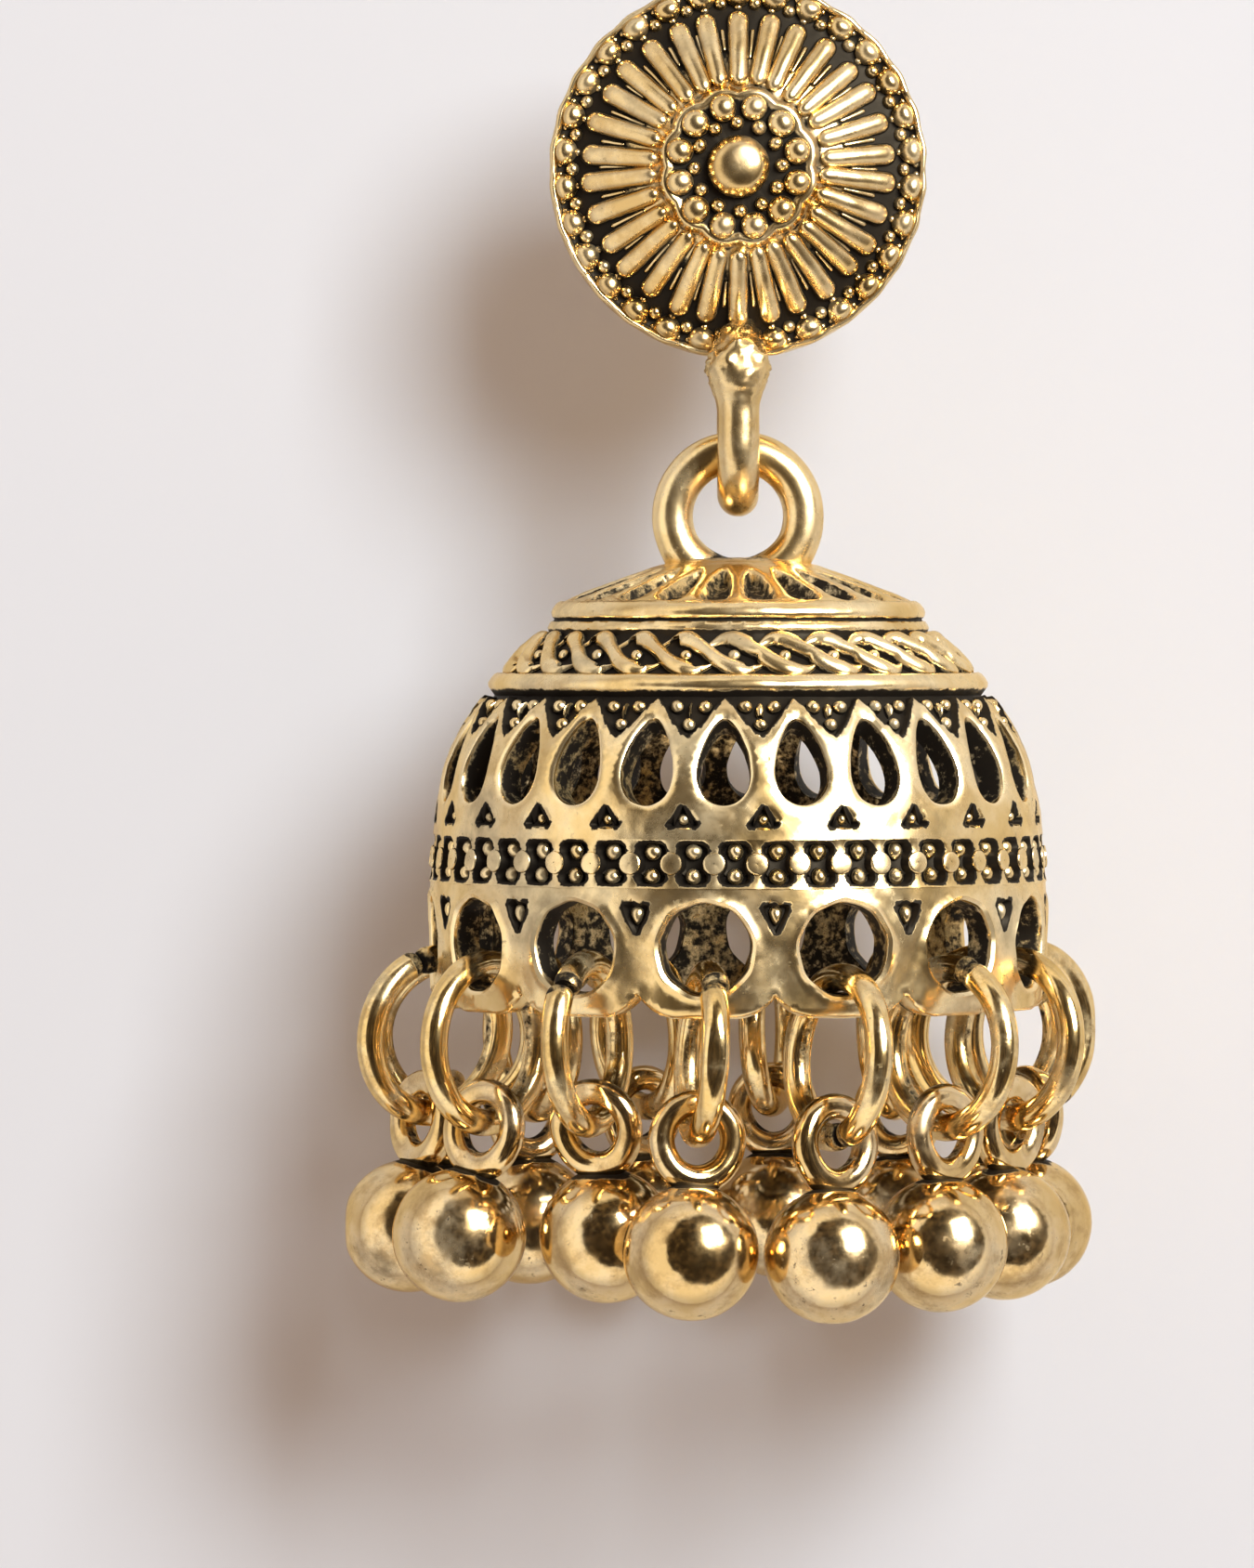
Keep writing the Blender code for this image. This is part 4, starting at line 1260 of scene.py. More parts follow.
    def petal(self, angle: float, start: float, end: float, width: float, height: float) -> None:
        """Adds a long raised petal with round ends and a round back.

        Args:
            angle: degrees from straight up.
            start: radius of its inner end.
            end: radius of its outer end.
            width: its width in millimetres.
            height: how far its back stands out.
        """
        turn = np.linspace(0.0, math.pi / 2.0, 7)
        bow = 0.5 * width * (1.0 - np.cos(turn))
        straight = np.linspace(start + 0.5 * width, end - 0.5 * width, 9)
        reach = np.concatenate([start + bow, straight[1:-1], (end - bow)[::-1]])
        round_end = np.concatenate([np.sin(turn), np.ones(7), np.sin(turn)[::-1]])
        widths = width * (0.86 + 0.20 * (reach - start) / (end - start)) * round_end
        rows, shades = [], []
        for side in np.linspace(0.0, math.pi, 13):
            across = math.cos(side) * widths / 2.0
            up = abs(math.sin(side)) ** 0.8
            rise = -0.06 + (height * (0.30 + 0.70 * round_end) + 0.06) * up
            rows.append(self.place(angle + np.degrees(across / reach), reach, rise))
            inner = smooth((reach - start) / (end - start) * 1.6)
            shades.append((0.35 + 0.65 * inner) * smooth((0.76 - up * round_end) / 0.40))
        self.relief.add_grid(rows, shades)

    def flower(self) -> None:
        """Adds the petals, pearls, dots and boss."""
        step = 360.0 / self.petals
        for i in range(self.petals):
            angle = step * i
            slip = 0.7 * math.sin(i * 2.1)
            length = 5.70 + 0.05 * math.sin(i * 2.7)
            self.petal(angle + slip, 2.94 + 0.06 * math.sin(i * 1.3), length, 0.80, 0.46)
            self.petal(angle + step / 2.0 + slip, 3.9 + 0.3 * math.sin(i * 3.1), 5.0, 0.20, 0.15)
            self.rim_pearl(angle)
            self.pearl(angle + step / 2.0, 5.93, 0.25, 0.30)
            self.pearl(angle, 5.78, 0.14, 0.17)
            for side in (-1.0, 1.0):
                self.pearl(angle + step / 2.0 + 1.7 * side, 6.38, 0.13, 0.16)
        for i in range(self.inner_pearls):
            angle = 360.0 * (i + 0.5) / self.inner_pearls
            self.pearl(angle, 2.17, 0.51, 0.54, 0.8)
            self.pearl(angle + 13.0, 1.57, 0.27, 0.40, 0.6)
        self.boss()

    def boss(self) -> None:
        """Adds the domed boss in the middle."""
        shape, faces = dome(self.boss_radius, self.boss_rise, 48, 16)
        reach = np.hypot(shape[:, 0], shape[:, 1]) / self.boss_radius
        crown = np.sqrt(np.clip(1.0 - (reach / 0.86) ** 2, 0.0, 1.0))
        shape[:, 2] = np.where(reach > 0.86, shape[:, 2], self.boss_rise * (0.46 + 0.50 * crown))
        points = np.column_stack([shape[:, 0], -self.crown - shape[:, 2], shape[:, 1]])
        shade = 0.9 * smooth((0.22 - shape[:, 2] / self.boss_rise) / 0.2)
        self.relief.add(points, faces[:, ::-1], shade)

    def loop(self, finish: Material) -> None:
        """Makes the long loop cast under the disc.

        Args:
            finish: the stud's material.
        """
        top, bottom = -7.8, self.loop_bottom + self.loop_half_width
        path = []
        half = self.loop_half_width
        for turn in np.linspace(0.0, math.pi, 33):
            path.append((math.cos(turn) * half, bottom - math.sin(turn) * half))
        for share in np.linspace(0.0, 1.0, 20)[1:]:
            path.append((-half, bottom + (top - bottom) * share))
        for turn in np.linspace(0.0, math.pi, 61)[1:-1]:
            path.append((-math.cos(turn) * half, top + math.sin(turn) * 1.6))
        for share in np.linspace(0.0, 1.0, 20)[:-1]:
            path.append((half, top + (bottom - top) * share))
        flat = np.array(path)
        points = np.column_stack([np.zeros(len(flat)), flat[:, 0] - FORWARD, flat[:, 1]])
        root = smooth((flat[:, 1] + 8.7) / 1.7)
        narrow = smooth((flat[:, 1] + 7.1) / 1.0)
        radii = self.loop_wire / 2.0 * (1.0 + 0.46 * root - 0.42 * narrow)
        sides = 44
        grid = sweep(points, ACROSS_X, radii, sides, True)
        skin = grid.reshape(-1, 3)
        rough = np.repeat(root, sides)
        swell = wander(skin, 1.1, 31) * (0.012 + 0.10 * rough)
        swell += np.abs(wander(skin, 0.66, 33)) * 0.16 * rough
        swell += wander(skin, 0.40, 35) * 0.05 * rough
        hollow = smooth(-swell * 5.0 + 0.1) * rough
        made = Casting("stud_loop")
        shade = (0.03 + 0.72 * hollow).reshape(len(flat), sides)
        made.add_grid(swelled(grid, points, swell), shade, wrap=True, close=True)
        made.build(finish, Body.STUD, Slot.DISC)

    def post(self, finish: Material) -> None:
        """Makes the plain ear post, with its rounded end.

        Args:
            finish: the stud's material.
        """
        made = Casting("stud_post")
        rows = []
        for reach, along in (
            (0.75, -0.1), (0.72, 0.05), (0.55, 0.18), (0.45, 0.32), (0.45, 9.0), (0.45, 10.1),
            (0.42, 10.25), (0.34, 10.40), (0.20, 10.47), (0.01, 10.50),
        ):
            rows.append(round_post(reach, turns(32), along))
        made.add_grid(rows, np.full(10, 0.05), wrap=True)
        made.build(finish, Body.STUD, Slot.DISC)

    def build(self, finish: Material) -> None:
        """Makes the stud's pieces.

        Args:
            finish: the stud's material.
        """
        self.plate()
        self.flower()
        self.disc.build(finish, Body.STUD, Slot.DISC, ("ear_stud",), wobble=0.022)
        self.relief.build(finish, Body.STUD, Slot.DISC, wobble=0.022)
        self.loop(finish)
        self.post(finish)


@dataclass(frozen=True)
class Hanging:
    """How one ball hangs on its ring.

    right and front say where the ball lies from the bell's axis, as shares of the bell's radius; ring_turn
    and ball_turn are in degrees; ride is how far the ring rides above its bar, as a share of its wire;
    ring_share is the share of the lean that the ring takes; cut is where the ring is cut, in degrees from
    its top.
    """

    right: float
    front: float
    ring_turn: float
    ball_turn: float
    ride: float
    ring_share: float
    cut: float


HANGING = (
    Hanging(-0.160, 1.018, 16.0, 4.0, 0.20, 1.0, 40.0),
    Hanging(0.284, 0.991, 10.0, 5.0, 0.05, 1.0, 168.0),
    Hanging(0.636, 0.718, -2.0, 0.0, 0.28, 1.0, 20.0),
    Hanging(0.853, 0.326, -27.0, 6.0, 0.40, 1.0, -30.0),
    Hanging(0.944, -0.115, 34.0, 0.0, 0.50, 1.0, 150.0),
    Hanging(0.871, -0.554, -10.0, 4.0, 0.20, 1.0, 60.0),
    Hanging(0.571, -0.880, 14.0, -6.0, 0.10, 1.0, -40.0),
    Hanging(0.145, -1.016, -8.0, 0.0, 0.15, 1.0, 15.0),
    Hanging(-0.309, -0.980, 12.0, 5.0, 0.05, 1.0, 165.0),
    Hanging(-0.690, -0.744, -15.0, 0.0, 0.10, 1.0, 30.0),
    Hanging(-0.980, -0.363, 20.0, -4.0, 0.20, 1.0, -155.0),
    Hanging(-1.071, 0.074, 30.0, 0.0, 0.40, 1.0, 25.0),
    Hanging(-0.899, 0.481, 18.0, 0.0, 0.35, 0.1, -20.0),
    Hanging(-0.426, 0.662, 9.0, 0.0, 0.40, 1.0, 35.0),
)


@dataclass
class BallDrops:
    """The cut jump rings through the rim holes, and the balls that hang on them."""

    line: BellLine = field(default_factory=BellLine)
    first: float = -6.6
    bar: float = 0.78
    wall: float = 1.0
    clearance: float = 0.12
    ring_radius: float = 2.8
    ring_wire: float = 1.0
    ball_diameter: float = 4.74
    solid_ball: float = 4.80
    rim_radius: float = 11.0113
    loop_radius: float = 1.28
    loop_wire: float = 0.92
    loop_sunk: float = 0.22

    @property
    def loop_drop(self) -> float:
        """How far the middle of the ball's loop lies below the wire that holds it."""
        return self.loop_radius - self.loop_wire / 2.0 - self.ring_wire / 2.0 - self.clearance

    @property
    def ball_reach(self) -> float:
        """How far the ball's centre lies below that wire."""
        rise = self.solid_ball / 2.0 + self.loop_radius + self.loop_wire / 2.0 - self.loop_sunk
        return self.loop_drop + rise

    def hung(self, place: Vector, down: Vector, across: Vector) -> Matrix:
        """Matrix of a piece that hangs from a place, in millimetres.

        Args:
            place: what it hangs from.
            down: the way it hangs.
            across: the way its plane turns.

        Returns:
            The matrix.
        """
        up = -down.normalized()
        side = (across - up * across.dot(up)).normalized()
        turn = Matrix((side, up.cross(side), up)).transposed().to_4x4()
        return Matrix.Translation(place) @ turn

    def poses(self) -> list[tuple[Matrix, Matrix]]:
        """Matrices of each ring and its ball, as the solids have them."""
        bar_top = self.line.cap_top - self.line.height + self.bar
        bar_radius = self.rim_radius - self.wall / 2.0
        found = []
        for i, row in enumerate(HANGING):
            turn = math.radians(self.first + 360.0 * i / len(HANGING))
            seat = bar_top + self.ring_wire * (0.5 + row.ride) + self.clearance
            top = Vector((bar_radius * math.sin(turn), -bar_radius * math.cos(turn) - FORWARD, seat))
            radius = self.line.radius
            target = Vector((row.right * radius, -row.front * radius - FORWARD, 0.0))
            lean = Vector((target.x - top.x, target.y - top.y, 0.0))
            length = 2.0 * self.ring_radius + self.ball_reach
            height = math.sqrt(length**2 - lean.length_squared)
            down = (lean * row.ring_share - Vector((0.0, 0.0, height))).normalized()
            plane = turn + math.radians(row.ring_turn)
            across = Vector((math.sin(plane), -math.cos(plane), 0.0))
            low = top + down * 2.0 * self.ring_radius
            rest = Vector((target.x - low.x, target.y - low.y, 0.0))
            fall = math.sqrt(self.ball_reach**2 - rest.length_squared)
            ball_down = rest - Vector((0.0, 0.0, fall))
            ball_plane = plane + math.radians(row.ball_turn)
            ball_across = Vector((math.sin(ball_plane), -math.cos(ball_plane), 0.0))
            found.append((self.hung(top, down, across), self.hung(low, ball_down, ball_across)))
        return found

    def ring(self, number: int, matrix: Matrix, cut: float, finish: Material) -> None:
        """Makes one jump ring: a round wire bent to a ring, its two ends almost meeting.

        Args:
            number: its number.
            matrix: where it hangs.
            cut: where it is cut, in degrees from its top.
            finish: its material.
        """
        made = Casting(f"ring_wire_{number:02d}")
        gap = 1.6
        turn = np.radians(np.linspace(cut + gap, cut + 360.0 - gap, 121))
        skew = np.linspace(-1.0, 1.0, 121) ** 3 * 0.07
        path = np.column_stack(
            [self.ring_radius * np.sin(turn), skew, self.ring_radius * (np.cos(turn) - 1.0)]
        )
        ends = np.minimum(np.arange(121), np.arange(121)[::-1])
        radii = 0.49 * self.ring_wire * np.where(ends == 0, 0.86, np.where(ends == 1, 0.985, 1.0))
        grid = sweep(path, ACROSS_Y, radii, 20, False)
        # The wire darkens on its inner face: partly patina, partly painted shade where the ring shades
        # itself.
        inner = self.ring_radius - np.hypot(grid[..., 0], grid[..., 2] + self.ring_radius)
        shade = 0.04 + 0.34 * smooth((inner / self.ring_wire - 0.38) / 0.10)
        shade[:3] = shade[-3:] = 0.5
        made.add_grid(moved(grid, matrix), shade, wrap=True)
        for row, flip in ((0, True), (-1, False)):
            cap = np.concatenate([grid[row], grid[row].mean(axis=0)[None]])
            faces = np.array([(i, (i + 1) % 20, 20, -1) for i in range(20)])
            made.add(moved(cap, matrix), faces[:, ::-1] if flip else faces, 0.8)
        made.build(finish, Body.DROP, Slot.RING, (f"jump_ring_{number:02d}",))

    def ball(self, number: int, matrix: Matrix, finish: Material) -> None:
        """Makes one ball with its cast loop, whose feet run into the ball.

        Args:
            number: its number.
            matrix: where it hangs.
            finish: its material.
        """
        made = Casting(f"ball_and_loop_{number:02d}")
        radius = self.ball_diameter / 2.0
        centre = np.array((0.0, 0.0, -self.ball_reach))
        rows, columns = 44, 72
        rise = np.linspace(0.0, math.pi, rows)
        turn = turns(columns)
        ways = np.stack(
            [
                np.sin(rise)[:, None] * np.cos(turn)[None],
                np.sin(rise)[:, None] * np.sin(turn)[None],
                np.cos(rise)[:, None] * np.ones(columns)[None],
            ],
            axis=-1,
        )
        ways[0, :, :2] *= 0.0
        ways[-1, :, :2] *= 0.0
        flat = ways.reshape(-1, 3)
        foot_way = 0.24
        fillet = np.zeros(len(flat))
        for side in (-1.0, 1.0):
            foot = np.array((0.0, math.sin(foot_way) * side, math.cos(foot_way)))
            away = np.arccos(np.clip(flat @ foot, -1.0, 1.0))
            fillet = np.maximum(fillet, np.exp(-((away / 0.15) ** 2)))
        swell = 0.006 * wander(flat * radius + number * 3.0, 3.0, 41)
        reach = radius * (1.0 + swell * (1.0 - fillet)) + 0.07 * fillet
        crease = np.hypot(flat[:, 0] / 0.26, flat[:, 1] / 0.38)
        crease = np.where(flat[:, 2] > 0.0, smooth((1.5 - crease) / 0.5), 0.0)
        edge = wander(flat * radius + number * 5.0, 1.6, 43)
        shade = np.clip((0.80 + 0.50 * edge) * crease, 0.0, 0.95)
        grid = centre + flat * reach[:, None]
        shade = (0.02 + shade).reshape(rows, columns)
        grid = moved(grid, matrix).reshape(rows, columns, 3)
        made.add_grid(grid, shade, wrap=True, flip=True)
        around = turns(72)
        up = (self.loop_radius + 0.10 * smooth(-np.cos(around) / 0.8)) * np.cos(around)
        path = np.column_stack([np.zeros(72), self.loop_radius * np.sin(around), up - self.loop_drop])
        low = smooth((-np.cos(around) - 0.15) / 0.8)
        radii = self.loop_wire / 2.0 * (1.0 + 0.10 * low)
        wire = sweep(path, ACROSS_X, radii, 20, True)
        # The loop darkens on its inner face, most where it meets the ball: partly patina, partly painted
        # shade.
        inner = self.loop_radius - np.hypot(wire[..., 1], wire[..., 2] + self.loop_drop)
        deep = smooth((inner / self.loop_wire - 0.34) / 0.12)
        shade = 0.02 + (0.30 + 0.26 * low[:, None]) * deep
        made.add_grid(moved(wire, matrix), shade, wrap=True, close=True)
        made.build(finish, Body.DROP, Slot.BALL, (f"ball_drop_{number:02d}",))

    def build(self, ring_finish: Material, ball_finish: Material) -> None:
        """Makes all the rings and balls.

        Args:
            ring_finish: the rings' material.
            ball_finish: the balls' material.
        """
        for number, (ring, ball) in enumerate(self.poses(), start=1):
            self.ring(number, ring, HANGING[number - 1].cut, ring_finish)
            self.ball(number, ball, ball_finish)


class NodeRow:
    """Lays shader nodes out and joins them."""

    def __init__(self, tree: NodeTree) -> None:
        """Empties the tree and keeps it, so that nodes are added to it."""
        tree.nodes.clear()
        self.tree = tree
        self.column = 0

    def feed(self, socket: NodeSocket, value: object) -> None:
        """Joins another socket to a socket, or sets its value."""
        if isinstance(value, NodeSocket):
            self.tree.links.new(value, socket)
        else:
            socket.default_value = value

    def add(self, kind: str, takes: dict[str | int, object] | None = None, **values: object) -> Node:
        """Adds a node.

        Args:
            kind: the node's type name.
            takes: sockets or values for its inputs.
            values: its properties.

        Returns:
            The node.
        """
        node = self.tree.nodes.new(kind)
        node.location = (self.column * 190.0, (self.column % 3) * -170.0)
        self.column += 1
        for name, value in values.items():
            setattr(node, name, value)
        for name, value in (takes or {}).items():
            self.feed(node.inputs[name], value)
        return node

    def math(self, operation: str, *values: object) -> NodeSocket:
        """Adds one step of arithmetic on up to three sockets or numbers, and gives its result."""
        return self.add("ShaderNodeMath", dict(enumerate(values)), operation=operation).outputs[0]

    def span(self, value: NodeSocket, low: float, high: float) -> NodeSocket:
        """Maps the stretch from low to high to 0 to 1, eased at its ends."""
        takes = {"Value": value, "From Min": low, "From Max": high}
        return self.add("ShaderNodeMapRange", takes, interpolation_type="SMOOTHSTEP").outputs["Result"]

    def noise(self, where: NodeSocket, scale: object, detail: float, rough: float = 0.55) -> NodeSocket:
        """Adds a noise over places in metres and gives its value."""
        takes = {"Vector": where, "Scale": scale, "Detail": detail, "Roughness": rough}
        return self.add("ShaderNodeTexNoise", takes).outputs["Fac"]

    def blend(self, share: NodeSocket, first: object, second: object) -> NodeSocket:
        """Mixes two colours, each a socket or a tuple.

        Args:
            share: how much of the second there is.
            first: the first colour.
            second: the second colour.

        Returns:
            The mixed colour's socket.
        """
        node = self.add("ShaderNodeMix", {"Factor": share}, data_type="RGBA")
        inputs = [socket for socket in node.inputs if socket.type == "RGBA"]
        for socket, value in zip(inputs, (first, second)):
            self.feed(socket, value if isinstance(value, NodeSocket) else (*value, 1.0))
        return [socket for socket in node.outputs if socket.type == "RGBA"][0]


def new_group(name: str, takes: dict[str, float], gives: tuple[str, ...]) -> tuple[NodeRow, Node, Node]:
    """Makes a shader node group with number inputs and outputs.

    Args:
        name: its name.
        takes: its inputs with their defaults.
        gives: its outputs.

    Returns:
        The row of its nodes, and its input and output nodes.
    """
    group = bpy.data.node_groups.new(name, "ShaderNodeTree")
    for socket, value in takes.items():
        made = group.interface.new_socket(socket, in_out="INPUT", socket_type="NodeSocketFloat")
        made.default_value = value
    for socket in gives:
        group.interface.new_socket(socket, in_out="OUTPUT", socket_type="NodeSocketFloat")
    row = NodeRow(group)
    return row, row.add("NodeGroupInput"), row.add("NodeGroupOutput")


def tarnish_group() -> NodeTree:
    """The group that says where black tarnish lies: recesses, stains and specks.

    Returns:
        The group.
    """
    row, takes, gives = new_group(
        "tarnish",
        {"Recess": 0.0, "Stain": 0.3, "Specks": 0.3, "Stain Scale": 300.0, "Speck Scale": 2500.0},
        ("Tarnish", "Wear And Highlight", "Cloud"),
    )
    where = row.add("ShaderNodeTexCoord").outputs["Object"]
    stain = row.noise(where, takes.outputs["Stain Scale"], 6.0, 0.62)
    specks = row.noise(where, takes.outputs["Speck Scale"], 4.0, 0.7)
    patch = row.math("MULTIPLY", row.span(specks, 0.60, 0.72), row.span(stain, 0.40, 0.62))
    uneven = row.math("MULTIPLY_ADD", stain, 0.5, -0.25)
    uneven = row.math("ADD", uneven, row.math("MULTIPLY_ADD", specks, 0.9, -0.45))
    recess = row.span(row.math("ADD", takes.outputs["Recess"], uneven), 0.30, 0.56)
    cloud = row.math("MULTIPLY", row.span(stain, 0.50, 0.74), takes.outputs["Stain"])
    dots = row.math("MULTIPLY", patch, takes.outputs["Specks"])
    total = row.math("MAXIMUM", recess, row.math("MAXIMUM", cloud, dots))
    row.feed(gives.inputs["Tarnish"], total)
    # Patina below 0 paints an edge pale: partly rubbed wear, partly a painted highlight.
    wear_and_highlight = row.span(row.math("MULTIPLY", takes.outputs["Recess"], -1.0), 0.0, 0.25)
    row.feed(gives.inputs["Wear And Highlight"], wear_and_highlight)
    row.feed(gives.inputs["Cloud"], stain)
    return row.tree


def skin_group() -> NodeTree:
    """The group of the cast skin: soft dents with a fine grain, as a height.

    Returns:
        The group.
    """
    row, takes, gives = new_group("cast_skin", {"Dents": 0.5, "Grain": 0.3, "Recess": 0.0}, ("Height",))
    where = row.add("ShaderNodeTexCoord").outputs["Object"]
    dents = row.math("MULTIPLY", row.noise(where, 620.0, 2.0), takes.outputs["Dents"])
    grain = row.math("MULTIPLY", row.noise(where, 5200.0, 5.0, 0.6), takes.outputs["Grain"])
    sunk = row.math("MULTIPLY", row.span(takes.outputs["Recess"], 0.4, 0.9), 0.8)
    coarse = row.math("MULTIPLY", row.noise(where, 2300.0, 3.0, 0.6), sunk)
    row.feed(gives.inputs["Height"], row.math("ADD", dents, row.math("ADD", grain, coarse)))
    return row.tree


@dataclass(frozen=True)
class AntiqueGold:
    """A gold-toned finish with black tarnish left in its recesses."""

    name: str
    gold: tuple[float, float, float]
    pale: tuple[float, float, float]
    tarnish: tuple[float, float, float] = (0.012, 0.009, 0.007)
    smudge: tuple[float, float, float] = (0.36, 0.22, 0.085)
    smudged: float = 0.35
    polish: float = 0.20
    dull: float = 0.55
    stain: float = 0.4
    specks: float = 0.5
    stain_scale: float = 260.0
    speck_scale: float = 2600.0
    dents: float = 0.5
    grain: float = 0.25
    bump: float = 0.00002

    def material(self, tarnish: NodeTree, skin: NodeTree) -> Material:
        """Makes the material.

        Args:
            tarnish: the group that places the tarnish.
            skin: the group of the cast skin.

        Returns:
            The material.
        """
        made = bpy.data.materials.new(self.name)
        made.use_nodes = True
        row = NodeRow(made.node_tree)
        recess = row.add("ShaderNodeAttribute", attribute_name="patina_and_painted_light").outputs["Fac"]
        places = {"Recess": recess, "Stain": self.stain, "Specks": self.specks}
        places |= {"Stain Scale": self.stain_scale, "Speck Scale": self.speck_scale}
        dark = row.add("ShaderNodeGroup", node_tree=tarnish)
        for name, value in places.items():
            row.feed(dark.inputs[name], value)
        cast = row.add("ShaderNodeGroup", node_tree=skin)
        for name, value in {"Recess": recess, "Dents": self.dents, "Grain": self.grain}.items():
            row.feed(cast.inputs[name], value)
        warm = row.blend(row.span(dark.outputs["Cloud"], 0.35, 0.65), self.gold, self.pale)
        where = row.add("ShaderNodeTexCoord").outputs["Object"]
        blots = row.noise(where, self.stain_scale * 2.1, 5.0, 0.7)
        dirt = row.math("MULTIPLY", row.span(blots, 0.44, 0.66), self.smudged)
        # Edges with patina below 0 take the pale gold: partly rubbed wear, partly a painted highlight.
        wear_and_highlight = row.blend(dark.outputs["Wear And Highlight"], row.blend(dirt, warm, self.smudge), self.pale)
        rough = row.math("MULTIPLY_ADD", dark.outputs["Tarnish"], self.dull - self.polish, self.polish)
        rough = row.math("MULTIPLY_ADD", dark.outputs["Cloud"], 0.10, rough)
        rough = row.math("MULTIPLY_ADD", dirt, 0.16, rough)
        bump = {"Strength": 0.6, "Distance": self.bump, "Height": cast.outputs["Height"]}
        looks = {
            "Base Color": row.blend(dark.outputs["Tarnish"], wear_and_highlight, self.tarnish),
            "Roughness": row.math("SUBTRACT", rough, 0.05),
            "Metallic": row.math("MULTIPLY_ADD", dark.outputs["Tarnish"], -0.85, 1.0),
            "Specular IOR Level": 0.12,
            "Specular Tint": (1.0, 0.88, 0.64, 1.0),
            "Normal": row.add("ShaderNodeBump", bump).outputs["Normal"],
        }
        shader = row.add("ShaderNodeBsdfPrincipled", looks)
        row.add("ShaderNodeOutputMaterial", {"Surface": shader.outputs["BSDF"]})
        return made


DISC_FINISH = AntiqueGold(
    "disc_antique_gold",
    (0.58, 0.40, 0.170), (0.79, 0.62, 0.355),
    polish=0.24,
    stain=0.45,
    specks=0.6,
    stain_scale=420.0,
)
BELL_FINISH = AntiqueGold(
    "bell_antique_gold",
    (0.73, 0.52, 0.225), (0.92, 0.74, 0.44),
    polish=0.23,
    stain=0.50,
    specks=0.7,
)
RING_FINISH = AntiqueGold(
    "ring_antique_gold",
    (0.74, 0.51, 0.20), (0.91, 0.71, 0.39),
    smudged=0.5,
    polish=0.14,
    stain=0.55,
    specks=0.8,
    stain_scale=520.0,
    grain=0.10,
    dents=0.3,
)
BALL_FINISH = AntiqueGold(
    "ball_antique_gold",
    (0.66, 0.46, 0.20), (0.84, 0.66, 0.40),
    smudged=0.60,
    polish=0.12,
    stain=0.55,
    specks=1.0,
    stain_scale=330.0,
    grain=0.16,
    dents=0.8,
)


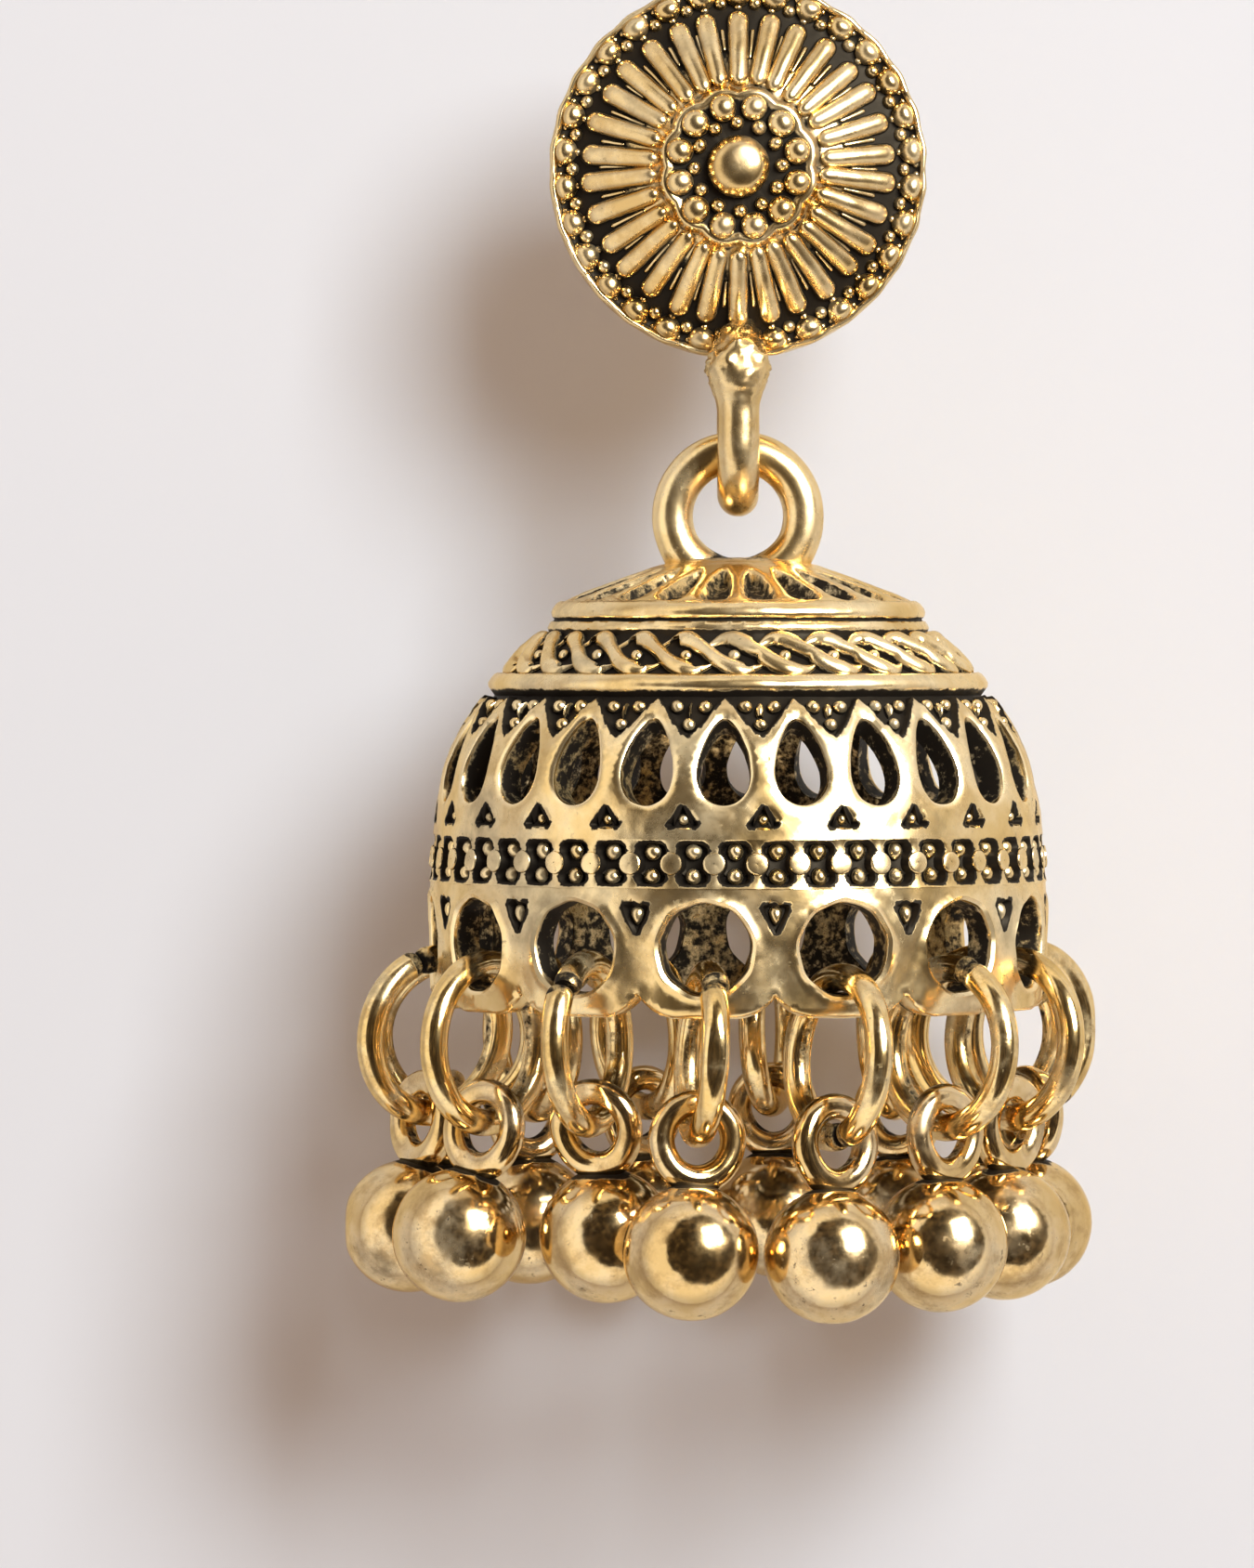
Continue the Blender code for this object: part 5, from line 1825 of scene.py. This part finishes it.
@dataclass(frozen=True)
class Studio:
    """Pale wall, soft light and the camera, in metres."""

    distance: float = 0.330
    lens_pixels: float = 9900.0
    long_side: float = 1688.0
    eye_height: float = -0.0164
    aside: float = -0.00398
    tilt: float = -0.98
    wall_behind: float = 0.0145

    def camera(self) -> None:
        """Makes the camera, level with the bell and tilted slightly down."""
        data = bpy.data.cameras.new("camera")
        data.sensor_fit = "AUTO"
        data.sensor_width = 36.0
        data.lens = self.lens_pixels / self.long_side * 36.0
        data.clip_start, data.clip_end = 0.01, 10.0
        made = in_scene("camera", data)
        made.location = (self.aside, -self.distance - FORWARD * MM, self.eye_height)
        made.rotation_euler = (math.radians(90.0 + self.tilt), 0.0, 0.0)
        bpy.context.scene.camera = made

    def wall(self) -> None:
        """Makes the pale wall behind, whose back is clear so that the earring shows from there."""
        mesh = bpy.data.meshes.new("wall")
        half, y = 0.6, self.wall_behind
        corners = [(-half, y, -half), (half, y, -half), (half, y, half), (-half, y, half)]
        mesh.from_pydata(corners, [], [(0, 1, 2, 3)])
        material = bpy.data.materials.new("wall_paint")
        material.use_nodes = True
        row = NodeRow(material.node_tree)
        paint = row.add("ShaderNodeBsdfDiffuse", {"Color": (0.82, 0.80, 0.80, 1.0)}).outputs[0]
        clear = row.add("ShaderNodeBsdfTransparent").outputs[0]
        back = row.add("ShaderNodeNewGeometry").outputs["Backfacing"]
        mixed = row.add("ShaderNodeMixShader", {0: back, 1: paint, 2: clear})
        row.add("ShaderNodeOutputMaterial", {"Surface": mixed.outputs[0]})
        mesh.materials.append(material)
        in_scene("wall", mesh)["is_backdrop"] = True

    def light(
        self,
        name: str,
        at: tuple[float, float, float],
        size: tuple[float, float],
        power: float,
        colour: tuple[float, float, float],
        on_metal: bool,
    ) -> None:
        """Makes one soft box that faces the middle of the earring.

        Args:
            name: its name.
            at: where it stands, in metres.
            size: its width and height.
            power: its power in watts.
            colour: its colour.
            on_metal: whether it shows on the metal alone, or lights the wall alone.
        """
        data = bpy.data.lights.new(name, "AREA")
        data.shape = "RECTANGLE"
        data.size, data.size_y = size
        data.energy = power
        data.color = colour
        made = in_scene(name, data)
        made.location = at
        aim = Vector((0.0, -0.001, -0.018)) - Vector(at)
        made.rotation_euler = aim.to_track_quat("-Z", "Y").to_euler()
        made.visible_camera = False
        made.visible_diffuse = not on_metal
        made.visible_glossy = on_metal

    def world(self) -> None:
        """Lights the room: a warm dim front, where the metal mirrors the dark side, and pale sides."""
        world = bpy.data.worlds.new("room")
        world.use_nodes = True
        bpy.context.scene.world = world
        row = NodeRow(world.node_tree)
        way = row.add("ShaderNodeTexCoord").outputs["Generated"]
        split = row.add("ShaderNodeSeparateXYZ", {0: way})
        front = row.math("MULTIPLY", split.outputs["Y"], -1.0)
        leaning = row.math("MULTIPLY_ADD", split.outputs["X"], 0.36, front)
        leaning = row.math("MULTIPLY_ADD", split.outputs["Z"], 0.16, leaning)
        uneven = row.noise(way, 2.2, 2.0)
        leaning = row.math("MULTIPLY_ADD", uneven, 0.36, row.math("SUBTRACT", leaning, 0.18))
        ragged = row.noise(way, 11.0, 4.0, 0.7)
        leaning = row.math("MULTIPLY_ADD", ragged, 0.30, row.math("SUBTRACT", leaning, 0.15))
        dark = row.span(leaning, 0.47, 0.56)
        mottled = row.span(row.noise(way, 5.0, 5.0, 0.7), 0.46, 0.66)
        gloom = row.blend(mottled, (0.030, 0.022, 0.015), (0.20, 0.15, 0.10))
        beside = row.span(front, 0.0, 0.40)
        bright = row.blend(beside, (0.74, 0.71, 0.70), (1.20, 1.13, 1.03))
        colour = row.blend(dark, bright, gloom)
        ray = row.add("ShaderNodeLightPath").outputs
        colour = row.blend(ray["Is Diffuse Ray"], colour, (0.376, 0.291, 0.241))
        colour = row.blend(ray["Is Camera Ray"], colour, (0.72, 0.705, 0.70))
        shine = row.add("ShaderNodeBackground", {"Color": colour, "Strength": 1.15})
        row.add("ShaderNodeOutputWorld", {"Surface": shine.outputs[0]})

    def build(self) -> None:
        """Makes the camera, wall and lights."""
        self.camera()
        self.wall()
        self.world()
        self.light("soft_box", (0.205, -0.245, 0.14), (0.17, 0.17), 6.2, (1.0, 0.97, 0.92), True)
        self.light("wall_light", (0.15, -0.40, 0.15), (0.17, 0.17), 1.95, (0.81, 0.915, 1.0), False)
        bpy.context.scene.view_settings.view_transform = "Standard"


def main() -> None:
    """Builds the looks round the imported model."""
    logging.basicConfig(level=logging.INFO, format="%(name)s: %(message)s")
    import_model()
    cad_box = [list(corner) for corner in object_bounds()]
    tarnish, skin = tarnish_group(), skin_group()
    disc, bell, ring, ball = (
        finish.material(tarnish, skin)
        for finish in (DISC_FINISH, BELL_FINISH, RING_FINISH, BALL_FINISH)
    )
    Studio().build()
    FlowerStud().build(disc)
    PiercedBell().build(bell)
    Bail().build(bell)
    BallDrops().build(ring, ball)
    for piece in PIECES:
        keep_inside(piece, *cad_box)


if __name__ == "__main__":
    main()
